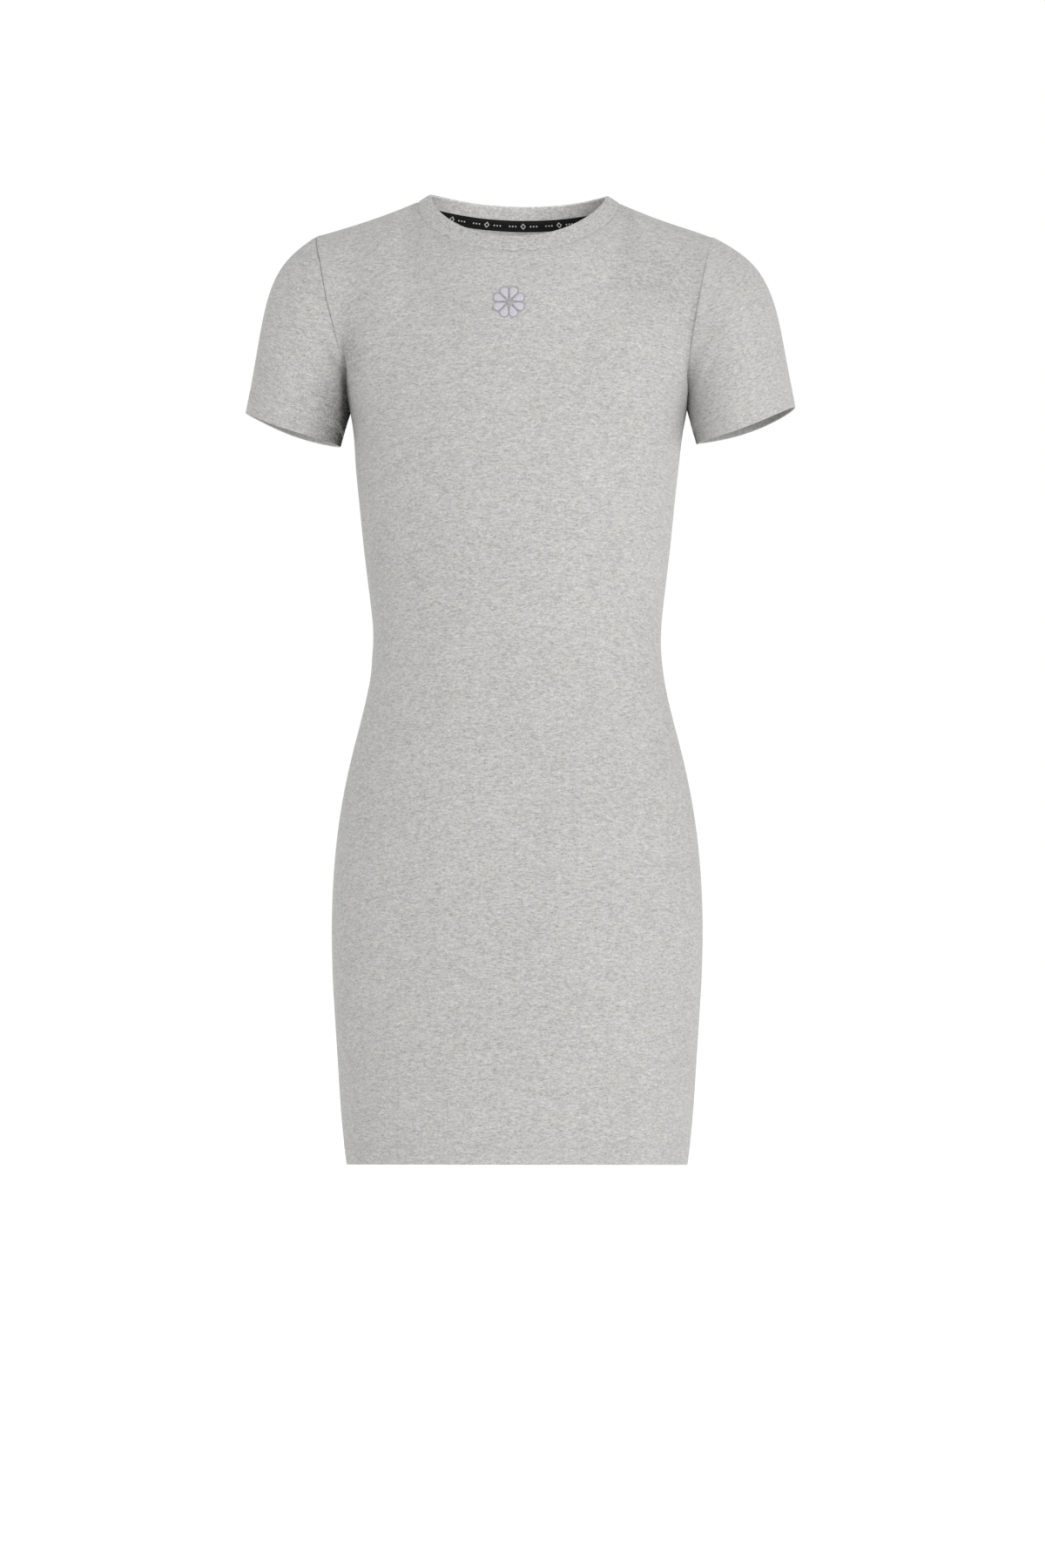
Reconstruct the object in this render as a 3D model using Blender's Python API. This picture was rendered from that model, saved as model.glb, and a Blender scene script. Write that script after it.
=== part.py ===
"""T-shirt dress: short sleeves, crew neck, fitted mini length, in jersey.

The dress is built the way it is sewn: a front, a back, two set-in sleeves, a
folded neckband and a tape over the back neck seam.  Each piece is a thin
curved wall that ends 0.3 mm short of the next one at every seam.

Frame: +Z up, the front faces -Y, +X is the wearer's left.  The origin is
midway between the two neck points at the top of the neckband, where the
wearer's shoulders and neck carry the dress.  The sizes below are in
millimetres; the meshes are made in metres.
"""

import math

import bpy
import numpy as np

MM = 0.001

# ---------------------------------------------------------------- sizes (mm)
WALL = 1.2  # one layer of jersey, with its nap
HEM_WALL = 2.2  # two layers: the turned-up hems of skirt and sleeves
HEM_DEPTH = 20.0  # height of the turned-up hems
HEM_STEP = 2.5  # the inner layer's cut edge fades out over this height
BAND_WALL = 2.4  # folded neckband, two layers and its seam allowance
TAPE_WALL = 1.0  # woven tape
TAPE_WIDTH = 11.2
SEAM_GAP = 0.3  # between neighbouring pieces, and between tape and panel
HEM_RISE = 9.3  # the front hem's centre rides this much above the side seams

UNDERARM_HEIGHT = -199.0  # level of the underarm point below the neck points
FOLD_BELOW = -140.0  # below this the sleeve folds back along the body
NECK_SHARE = 0.5  # share of a panel's columns that end on the neckline
ARMHOLE_REACH = 4.0  # the higher, the nearer to its edge an armhole shapes a panel
EASE = 0.20  # width of the easing below the neck points, as a share

# The body as level sections: one row for each level, from the hem up.
# height: below the neck points; half_width: centre to side seam;
# front, back: depth of the section in front of and behind the side seams;
# roundness: exponent of the section's superellipse (2 is an ellipse).
BODY_COLUMNS = ("height", "half_width", "front", "back", "roundness")
BODY = (
    (-890.0, 156.2, 107.0, 112.0, 2.30),
    (-869.0, 158.8, 107.8, 113.2, 2.30),
    (-845.0, 161.2, 108.6, 114.6, 2.30),
    (-797.0, 164.4, 110.0, 118.0, 2.30),
    (-725.0, 168.8, 111.0, 122.5, 2.30),
    (-665.0, 170.0, 110.5, 124.5, 2.28),
    (-605.0, 166.8, 108.0, 122.0, 2.25),
    (-557.0, 160.4, 104.0, 114.0, 2.22),
    (-509.0, 150.0, 99.5, 102.0, 2.20),
    (-461.0, 138.0, 96.5, 91.0, 2.20),
    (-413.0, 132.0, 97.5, 85.5, 2.20),
    (-365.0, 135.6, 104.0, 87.5, 2.20),
    (-325.0, 140.4, 110.5, 92.5, 2.22),
    (-285.0, 144.4, 113.5, 97.5, 2.25),
    (-245.0, 148.4, 111.5, 101.5, 2.28),
    (-215.0, 151.6, 107.5, 103.0, 2.30),
    (-199.0, 154.6, 105.0, 103.4, 2.30),
)

# The armhole seam, one row for each level, from the underarm point to the
# shoulder tip: half_width from the centre, and depth on the front and back.
ARMHOLE_COLUMNS = ("height", "half_width", "front", "back")
ARMHOLE = (
    (-199.0, 154.6, 0.0, 0.0),
    (-188.0, 155.8, 20.0, 22.0),
    (-167.0, 158.8, 37.0, 42.0),
    (-133.0, 164.3, 48.0, 54.0),
    (-96.0, 171.0, 46.5, 53.5),
    (-66.0, 176.6, 32.0, 38.0),
    (-46.5, 180.0, 13.0, 17.0),
    (-39.0, 181.0, -3.0, 3.0),
)

# The shoulder seam from the neckband to the shoulder tip.
SHOULDER_COLUMNS = ("half_width", "height", "back")
SHOULDER = (
    (93.0, -7.5, 1.0),
    (103.0, -11.6, 1.2),
    (119.0, -17.7, 1.5),
    (137.0, -24.0, 1.9),
    (157.0, -30.6, 2.4),
    (181.0, -39.0, 3.0),
)

# The two edges of the neckband as ovals seen from above.  seam: where it is
# sewn to the panels; fold: its top edge, which is the neck opening.
# front, back: depth of the oval; side/front/back_height: levels of its edge;
# front_lift, back_lift: how much the edge swells up between those levels.
NECK_COLUMNS = ("edge", "half_width", "front", "back", "side_height",
                "front_height", "back_height", "front_lift", "back_lift")
NECK = (
    ("seam", 93.0, 78.0, 60.0, -7.5, -60.5, -15.8, 0.0, 1.2),
    ("fold", 81.0, 70.0, 57.5, 0.0, -45.8, -3.4, 2.3, 2.3),
)
NECK_ROUNDNESS = 2.12
NECK_TILT = 1.15  # how the level falls with the depth, front

# The hem edge of a sleeve: an oval round the arm.
CUFF_CENTRE = (208.0, 0.0, -213.5)
CUFF_TILT = 20.8  # degrees, outer side up
CUFF_HALF_WIDTH = 46.8
CUFF_FRONT = 55.0
CUFF_BACK = 58.0
CUFF_ROUNDNESS = 2.1
CUFF_SAG = 2.5  # the hem's front and back hang this much below its two ends

# The dress hangs a little askew: its shoulders slope down towards +X, and
# everything above the underarms stands a little to that side.
SHOULDER_SLOPE = 0.017
SHOULDER_SHIFT = 1.7
CUFF_DROOP = 3.0  # and the sleeve on the -X side hangs this much lower
CUFF_SPREAD = 2.2  # and the one on the +X side stands out this much further
HEM_DROP = 1.6  # and so does the hem on that side

# How a sleeve leaves the armhole and reaches its hem, one row for each share
# of the way round from the shoulder tip (0) to the underarm point (1).
# out, fore, down: direction in which the cloth leaves the seam (fore is away
# from the arm's centre plane, to the front on the front and to the back on
# the back); pull, hang: lengths of its start and end tangents;
# flare: how much the cloth leans out where it reaches the hem.
SLEEVE_COLUMNS = ("share", "out", "fore", "down", "pull", "hang", "flare")
SLEEVE = (
    (0.00, 0.906, 0.00, 0.424, 187.0, 317.0, 0.205),
    (0.25, 0.87, 0.17, 0.46, 150.0, 220.0, 0.205),
    (0.50, 0.79, 0.14, 0.60, 92.0, 110.0, 0.21),
    (0.75, 0.60, 0.12, 0.79, 44.0, 54.0, 0.24),
    (1.00, 0.28, 0.00, 0.96, 14.0, 18.0, 0.25),
)

# ------------------------------------------------- resolution of the solids
NECK_CELLS = 7  # columns from the centre of a panel to its neck point
SHOULDER_CELLS = 5  # columns along a shoulder seam
SKIRT_ROWS = 19  # rows from the hem to the underarm
YOKE_ROWS = 11  # rows from the underarm to the shoulder
SLEEVE_ROWS = 6  # rows from the armhole to the sleeve hem


# ------------------------------------------------------------------ helpers
def spline(xs, ys):
    """Natural cubic through a table's rows; returns a function of x."""
    xs = np.asarray(xs, float)
    ys = np.asarray(ys, float)
    n = len(xs)
    h = np.diff(xs)
    a = np.zeros((n, n))
    r = np.zeros(n)
    a[0, 0] = a[-1, -1] = 1.0
    for i in range(1, n - 1):
        a[i, i - 1], a[i, i], a[i, i + 1] = h[i - 1], 2 * (h[i - 1] + h[i]), h[i]
        r[i] = 6 * ((ys[i + 1] - ys[i]) / h[i] - (ys[i] - ys[i - 1]) / h[i - 1])
    m = np.linalg.solve(a, r)

    def at(x):
        x = np.clip(np.asarray(x, float), xs[0], xs[-1])
        i = np.clip(np.searchsorted(xs, x) - 1, 0, n - 2)
        d, e, w = x - xs[i], xs[i + 1] - x, h[i]
        return (m[i] * e**3 + m[i + 1] * d**3) / (6 * w) + (
            ys[i] / w - m[i] * w / 6) * e + (ys[i + 1] / w - m[i + 1] * w / 6) * d

    return at


def column(table, names, name):
    k = names.index(name)
    return [row[k] for row in table]


def unit(v):
    v = np.asarray(v, float)
    return v / np.linalg.norm(v, axis=-1, keepdims=True)


def lengths(points):
    """Running length along a list of points."""
    step = np.linalg.norm(np.diff(points, axis=0), axis=1)
    return np.concatenate([[0.0], np.cumsum(step)])


def hermite(a, ta, b, tb, t):
    t = np.asarray(t, float)[..., None]
    return ((2 * t**3 - 3 * t**2 + 1) * a + (t**3 - 2 * t**2 + t) * ta
            + (3 * t**2 - 2 * t**3) * b + (t**3 - t**2) * tb)


def quarter_oval(width, depth, roundness, shares):
    """Points of a quarter superellipse, by share of its length from the
    depth axis (0) to the width axis (1)."""
    p = np.linspace(0.0, math.pi / 2, 181)
    x = width * np.sin(p) ** (2 / roundness)
    y = depth * np.clip(np.cos(p), 0, 1) ** (2 / roundness)
    s = lengths(np.stack([x, y], 1))
    f = np.asarray(shares, float) * s[-1]
    return np.interp(f, s, x), np.interp(f, s, y)


# --------------------------------------------------------------- the shapes
BODY_AT = {name: spline(column(BODY, BODY_COLUMNS, "height"),
                        column(BODY, BODY_COLUMNS, name))
           for name in BODY_COLUMNS[1:]}


def body_point(u, height, face):
    """Point of the body at share u (-1 to 1) between the side seams.
    face is -1 for the front and +1 for the back."""
    depth = BODY_AT["front" if face < 0 else "back"](height)
    x, y = quarter_oval(BODY_AT["half_width"](height), depth,
                        BODY_AT["roundness"](height), [abs(u)])
    rise = 0.0
    if face < 0:
        low = BODY[0][0]
        fade = np.clip((-640.0 - height) / (-640.0 - low), 0.0, 1.0) ** 2
        rise = HEM_RISE * fade * y[0] / depth
    return np.array([math.copysign(x[0], u), face * y[0], height + rise])


def armhole_curve(face):
    """The armhole seam on the +X side as a function of its length share."""
    z = np.array(column(ARMHOLE, ARMHOLE_COLUMNS, "height"))
    x = np.array(column(ARMHOLE, ARMHOLE_COLUMNS, "half_width"))
    y = face * np.array(column(
        ARMHOLE, ARMHOLE_COLUMNS, "front" if face < 0 else "back"))
    p = np.stack([x, y, z], 1)
    s = lengths(p)
    fx, fy, fz = (spline(s, p[:, k]) for k in range(3))
    fine = np.linspace(0.0, s[-1], 200)
    q = np.stack([fx(fine), fy(fine), fz(fine)], 1)
    t = lengths(q)

    def at(share):
        f = np.interp(np.asarray(share, float) * t[-1], t, fine)
        return np.stack([fx(f), fy(f), fz(f)], -1)

    return at


ARMHOLE_AT = {face: armhole_curve(face) for face in (-1, 1)}
SHOULDER_Z = spline(column(SHOULDER, SHOULDER_COLUMNS, "half_width"),
                    column(SHOULDER, SHOULDER_COLUMNS, "height"))
SHOULDER_Y = spline(column(SHOULDER, SHOULDER_COLUMNS, "half_width"),
                    column(SHOULDER, SHOULDER_COLUMNS, "back"))


def neck_point(edge, q, face):
    """Point of a neckband edge; q is -1..1 from neck point to neck point."""
    row = dict(zip(NECK_COLUMNS, NECK[0] if edge == "seam" else NECK[1]))
    depth = row["front" if face < 0 else "back"]
    x, y = quarter_oval(row["half_width"], depth, NECK_ROUNDNESS, [abs(q)])
    end = row["front_height" if face < 0 else "back_height"]
    s = y[0] / depth
    z = row["side_height"] + (end - row["side_height"]) * (
        s ** NECK_TILT if face < 0 else s * s)
    z += row["front_lift" if face < 0 else "back_lift"] * math.sin(math.pi * s)
    # the neck points sit on the shoulder seam, slightly behind the centre
    y_side = SHOULDER[0][2]
    return np.array([math.copysign(x[0], q),
                     face * y[0] + y_side * (1 - s), z])


def top_point(u, face):
    """Top edge of a panel: shoulder seam, neckline, shoulder seam."""
    a = abs(u)
    if a <= NECK_SHARE:
        return neck_point("seam", u / NECK_SHARE, face)
    f = (a - NECK_SHARE) / (1 - NECK_SHARE)
    x = SHOULDER[0][0] + f * (SHOULDER[-1][0] - SHOULDER[0][0])
    return np.array([math.copysign(x, u), SHOULDER_Y(x), SHOULDER_Z(x)])


def top_direction(u, face):
    """Direction in which the cloth of a panel reaches its top edge."""
    a = abs(u)
    sign = math.copysign(1.0, u)
    over = np.array([0.0, -face, 0.0])
    if a >= NECK_SHARE:
        f = (a - NECK_SHARE) / (1 - NECK_SHARE)
        inward = np.array([-0.94 * sign, 0.0, 0.34])
        return unit(over + 0.75 * (1 - f) ** 1.5 * inward)
    q = u / NECK_SHARE
    up = unit(neck_point("fold", q, face) - neck_point("seam", q, face))
    e = 1e-3
    b = min(abs(q), 1 - e)
    along = unit(neck_point("seam", sign * (b + e), face)
                 - neck_point("seam", sign * (b - e), face))
    return unit(up + 1.2 * abs(q) ** 3 * along)


def yoke_ends(u, face):
    """A column of the yoke as two ends: where it leaves underarm level and
    how, and where it reaches the top edge and how."""
    z = UNDERARM_HEIGHT
    start = body_point(u, z, face)
    below = body_point(u, z - 6.0, face)
    rise = unit(start - below)
    top = top_point(u, face)
    a = abs(u)
    chord = np.linalg.norm(top - start)
    # short and nearly straight below the neckline, a quarter round over
    # the shoulder
    round_over = np.clip((a - 0.1) / 0.6, 0.0, 1.0)
    round_over = round_over * round_over * (3 - 2 * round_over)
    pull = chord * (1.0 + 0.45 * round_over)
    lean = (1 - round_over) * chord * 1.0 + round_over * 1.55 * max(
        40.0, abs(top[1] - start[1]))
    return start, rise * pull, top, top_direction(u, face) * lean


def yoke_top_table(face):
    """Top ends of evenly spaced columns, carried on past both armholes."""
    u = np.linspace(-1.0, 1.0, 161)
    ends = [yoke_ends(k, face)[2:] for k in u]
    table = []
    for k in (0, 1):
        v = np.array([e[k] for e in ends])
        table.append(np.concatenate([2 * v[0] - v[:0:-1], v,
                                     2 * v[-1] - v[-2::-1]]))
    return (np.concatenate([-2 - u[:0:-1], u, 2 - u[-2::-1]]), *table)


YOKE_TOP = {face: yoke_top_table(face) for face in (-1, 1)}


def eased_column(u, t, face):
    """The cloth eases out the corner where neckline and shoulder seam meet:
    the further below its top edge, the wider the stretch of that edge that
    shapes it."""
    us, tops, leans = YOKE_TOP[face]
    width = EASE * (1 - t) ** 0.8 + 0.004

    def bell(spread):
        w = np.exp(-0.5 * ((us[None, :] - u) / (spread * width[:, None])) ** 2)
        return w / w.sum(axis=1, keepdims=True)

    # the second, wider bell gives back the edge's own curve, which the
    # first would flatten
    w = 2 * bell(1.0) - bell(math.sqrt(2.0))
    start, pull, top, lean = yoke_ends(u, face)
    near = np.clip((width - 0.006) / 0.02, 0.0, 1.0)[:, None]
    top = top + near * (w @ tops - top)
    lean = lean + near * (w @ leans - lean)
    return hermite(start, pull, top, lean, t)


def yoke_point(u, t, face):
    """Points of the panel's cloth from underarm level (t = 0) to its top
    edge (t = 1); its side edges are the armhole seams."""
    t = np.asarray(t, float)
    sign = math.copysign(1.0, u)
    p = eased_column(u, t, face)
    edge = eased_column(sign, t, face)
    arm = ARMHOLE_AT[face](t) * np.array([sign, 1.0, 1.0])
    return p + abs(u) ** ARMHOLE_REACH * (arm - edge)


def panel_columns(neck_cells, shoulder_cells):
    half = np.concatenate([
        np.linspace(0.0, NECK_SHARE, neck_cells + 1),
        np.linspace(NECK_SHARE, 1.0, shoulder_cells + 1)[1:]])
    return np.concatenate([-half[::-1], half[1:]])


def panel_grid(face, us, skirt_rows, yoke_rows):
    """Grid of points [row][column] from hem to top, and the cloth's
    thickness in each row."""
    low = BODY[0][0]
    skirt = [low, low + HEM_DEPTH, low + HEM_DEPTH + HEM_STEP] + list(
        np.linspace(low + HEM_DEPTH + HEM_STEP, UNDERARM_HEIGHT,
                    skirt_rows - 1)[1:])
    wall = [HEM_WALL, HEM_WALL] + [WALL] * (len(skirt) - 2 + yoke_rows)
    grid = [[body_point(u, z, face) for u in us] for z in skirt]
    fine = np.linspace(0.0, 1.0, 61)
    cols = []
    for u in us:
        s = lengths(yoke_point(u, fine, face))
        want = np.concatenate([
            np.linspace(0.0, s[-1] - TAPE_WIDTH, yoke_rows)[1:], [s[-1]]])
        cols.append(yoke_point(u, np.interp(want, s, fine), face))
    for i in range(yoke_rows):
        grid.append([c[i] for c in cols])
    return np.array(grid), np.array(wall)


SLEEVE_AT = {}
for _name in SLEEVE_COLUMNS[1:]:
    _share = np.array(column(SLEEVE, SLEEVE_COLUMNS, "share"))
    _value = np.array(column(SLEEVE, SLEEVE_COLUMNS, _name))
    # mirrored about both ends so that it runs smoothly through them
    SLEEVE_AT[_name] = spline(
        np.concatenate([-_share[::-1][:-1], _share, 2 - _share[::-1][1:]]),
        np.concatenate([(-1 if _name == "fore" else 1) * _value[::-1][:-1],
                        _value,
                        (-1 if _name == "fore" else 1) * _value[::-1][1:]]))


def cuff_point(share, face):
    """Hem edge of the sleeve; share 0 outermost, 1 innermost."""
    depth = CUFF_FRONT if face < 0 else CUFF_BACK
    a = share if share <= 0.5 else 1 - share
    w, d = quarter_oval(CUFF_HALF_WIDTH, depth, CUFF_ROUNDNESS, [1 - 2 * a])
    w = w[0] if share <= 0.5 else -w[0]
    tilt = math.radians(CUFF_TILT)
    sag = CUFF_SAG * (1 - (w / CUFF_HALF_WIDTH) ** 2)
    c = np.array(CUFF_CENTRE)
    return c + np.array([w * math.cos(tilt), face * d[0],
                         w * math.sin(tilt) - sag])


def sleeve_column(start, share, face):
    k = {name: float(at(share)) for name, at in SLEEVE_AT.items()}
    leave = unit([k["out"], face * k["fore"], -k["down"]]) * k["pull"]
    reach = unit([k["flare"], 0.0, -1.0]) * k["hang"]
    return start, leave, cuff_point(share, face), reach


def sleeve_grid(front_edge, back_edge, rows):
    """front_edge, back_edge: the panels' armhole points from underarm to
    tip.  Grid [row][round] from the armhole to the hem; the round goes
    from the tip down the front to the underarm and up the back."""
    ring = []
    for face, edge in ((-1, front_edge), (1, back_edge)):
        s = lengths(edge)
        share = 1 - s / s[-1]
        order = range(len(edge) - 1, 0, -1) if face < 0 else range(
            0, len(edge) - 1)
        ring += [(edge[k], share[k], face) for k in order]
    fine = np.linspace(0.0, 1.0, 61)
    cols = []
    for start, share, face in ring:
        h = sleeve_column(start, share, face)
        s = lengths(hermite(*h, fine))
        top = s[-1] - HEM_DEPTH - HEM_STEP
        want = np.concatenate([np.linspace(0.0, top, rows + 1),
                               [s[-1] - HEM_DEPTH, s[-1]]])
        cols.append(hermite(*h, np.interp(want, s, fine)))
    grid = np.array(cols).transpose(1, 0, 2)
    wall = np.array([WALL] * (rows + 1) + [HEM_WALL, HEM_WALL])
    return grid, wall


def band_grid(neck_cells, rows=(0.0, 0.5, 0.93, 1.0)):
    """Neckband from its seam (0) to its fold (1); the round goes from the
    neck point on the +X side over the front and back again."""
    q = np.linspace(0.0, 1.0, neck_cells + 1)
    ring = [(a, -1) for a in np.concatenate([q[::-1], -q[1:]])]
    ring += [(a, 1) for a in np.concatenate([-q[::-1][1:], q[1:-1]])]
    grid = []
    for r in rows:
        line = []
        for a, face in ring:
            p, e = neck_point("seam", a, face), neck_point("fold", a, face)
            line.append(p + r * (e - p))
        grid.append(line)
    return np.array(grid)


def ramp(x, low, high):
    t = np.clip((x - low) / (high - low), 0.0, 1.0)
    return t * t * (3 - 2 * t)


def askew(grid):
    """Moves points from the even pattern to how the dress hangs."""
    out = grid.copy()
    z = grid[..., 2]
    out[..., 0] += SHOULDER_SHIFT * ramp(z, -280.0, -170.0)
    out[..., 2] -= SHOULDER_SLOPE * grid[..., 0] * ramp(z, -200.0, -35.0)
    out[..., 2] -= CUFF_DROOP * ramp(-grid[..., 0], 165.0, 230.0) * ramp(
        -z, 90.0, 190.0)
    out[..., 0] += CUFF_SPREAD * ramp(grid[..., 0], 160.0, 225.0) * ramp(
        -z, 50.0, 120.0)
    out[..., 2] -= HEM_DROP * (0.5 - grid[..., 0] / 320.0) * ramp(
        -z, 640.0, 880.0)
    return out


# ------------------------------------------------------- grids into solids
def cell_faces(rows, cols, closed):
    """Triangles over a grid of rows x cols points, numbered row by row."""
    tris = []
    for i in range(rows - 1):
        for j in range(cols if closed else cols - 1):
            k = (j + 1) % cols
            a, b = i * cols + j, i * cols + k
            c, d = (i + 1) * cols + k, (i + 1) * cols + j
            if (i + j) % 2:
                tris += [(a, b, c), (a, c, d)]
            else:
                tris += [(a, b, d), (b, c, d)]
    return np.array(tris)


def normals(points, tris):
    flat = points.reshape(-1, 3)
    n = np.zeros_like(flat)
    a, b, c = (flat[tris[:, k]] for k in range(3))
    f = np.cross(b - a, c - a)
    for k in range(3):
        np.add.at(n, tris[:, k], f)
    return unit(n).reshape(points.shape)


def seam_normals(grids):
    """Shared normals: points of different pieces that meet at a seam get
    the mean of their pieces' normals, so their edges stay parallel."""
    table = {}
    own = []
    for grid, tris in grids:
        n = normals(grid, tris)
        own.append(n)
        for p, m in zip(grid.reshape(-1, 3), n.reshape(-1, 3)):
            key = tuple(np.round(p, 2))
            table[key] = table.get(key, 0) + m
    shared = []
    for (grid, _), n in zip(grids, own):
        m = np.array([unit(table[tuple(np.round(p, 2))])
                      for p in grid.reshape(-1, 3)]).reshape(grid.shape)
        # under the arm the pieces fold back on each other in a deep valley,
        # and there each wall keeps its own normal
        fit = np.sum(m * n, axis=2, keepdims=True)
        fold = np.clip((0.93 - fit) / 0.08, 0.0, 1.0) * (
            grid[..., 2:] < FOLD_BELOW)
        shared.append(unit(m * (1 - fold) + n * fold))
    return own, shared


def inset(grid, shared, closed, gap, sides="bltr"):
    """Moves the edge points of a grid gap/2 back from their seams."""
    out = grid.copy()
    rows, cols = grid.shape[:2]

    def move(i, j, i2, j2):
        """Edge point (i, j) towards its inner neighbour (i2, j2)."""
        into = grid[i2, j2] - grid[i, j]
        if i != i2:  # a row edge: its seam runs along j
            ja, jb = ((j - 1) % cols, (j + 1) % cols) if closed else (
                max(j - 1, 0), min(j + 1, cols - 1))
            along = grid[i, jb] - grid[i, ja]
        else:
            along = grid[min(i + 1, rows - 1), j] - grid[max(i - 1, 0), j]
        side = np.cross(shared[i, j], unit(along))
        side = unit(side - shared[i, j] * np.dot(side, shared[i, j]))
        if np.dot(side, into) < 0:
            side = -side
        out[i, j] += side * gap / 2

    if "t" in sides:
        for j in range(cols):
            move(rows - 1, j, rows - 2, j)
    if "b" in sides:
        for j in range(cols):
            move(0, j, 1, j)
    if not closed:
        for i in range(rows):
            if "l" in sides:
                move(i, 0, i, 1)
            if "r" in sides:
                move(i, cols - 1, i, cols - 2)
    return out


def solid(grid, own, shared, wall, tris, closed):
    """Closed wall: the outer face is the grid, the inner one lies inside."""
    rows, cols = grid.shape[:2]
    fit = np.clip(np.sum(own * shared, axis=2), 0.62, 1.0)
    inner = grid - shared * (wall[:, None] / fit)[..., None]
    n = rows * cols
    verts = np.concatenate([grid.reshape(-1, 3), inner.reshape(-1, 3)])
    faces = [tuple(t) for t in tris] + [(t[0] + n, t[2] + n, t[1] + n)
                                        for t in tris]

    def rim(line, flip):
        pairs = list(zip(line, line[1:]))
        for a, b in pairs:
            q = (a, b, b + n, a + n) if flip else (b, a, a + n, b + n)
            faces.extend([(q[0], q[1], q[2]), (q[0], q[2], q[3])])

    bottom = list(range(cols)) + ([0] if closed else [])
    top = [(rows - 1) * cols + k for k in bottom]
    rim(bottom, False)
    rim(top, True)
    if not closed:
        rim([i * cols for i in range(rows)], True)
        rim([i * cols + cols - 1 for i in range(rows)], False)
    return verts, faces


def outward(verts, faces):
    """True when the faces' signed volume is positive."""
    f = np.array(faces)
    a, b, c = (verts[f[:, k]] for k in range(3))
    return float(np.sum(a * np.cross(b, c))) > 0


def new_object(name, verts, faces, material):
    if not outward(verts, faces):
        faces = [(f[0], f[2], f[1]) for f in faces]
    mesh = bpy.data.meshes.new(name)
    mesh.from_pydata([tuple(v * MM) for v in verts], [],
                     [tuple(int(k) for k in f) for f in faces])
    mesh.validate()
    mesh.update()
    obj = bpy.data.objects.new(name, mesh)
    mesh.materials.append(material)
    bpy.context.scene.collection.objects.link(obj)
    mesh.shade_smooth()
    mesh.set_sharp_from_angle(angle=math.radians(50))
    return obj


def new_material(name, colour, roughness):
    material = bpy.data.materials.new(name)
    material.use_nodes = True
    shader = material.node_tree.nodes["Principled BSDF"]
    shader.inputs["Base Color"].default_value = (*colour, 1.0)
    shader.inputs["Roughness"].default_value = roughness
    shader.inputs["Metallic"].default_value = 0.0
    return material


def dress_grids(neck_cells, shoulder_cells, skirt_rows, yoke_rows,
                sleeve_rows):
    """Points of every piece's outer face, and the walls' thicknesses."""
    us = panel_columns(neck_cells, shoulder_cells)
    front, wall = panel_grid(-1, us, skirt_rows, yoke_rows)
    back, _ = panel_grid(1, us, skirt_rows, yoke_rows)
    arm_row = front.shape[0] - yoke_rows - 1
    grids = {"front": askew(front), "back": askew(back)}
    for name, j, mirror in (("sleeve_left", -1, 1.0),
                            ("sleeve_right", 0, -1.0)):
        flip = np.array([mirror, 1.0, 1.0])
        grid, sleeve_wall = sleeve_grid(
            front[arm_row:, j] * flip, back[arm_row:, j] * flip, sleeve_rows)
        grids[name] = askew(grid * flip)
    grids["neckband"] = askew(band_grid(neck_cells))
    return grids, wall, sleeve_wall


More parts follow.
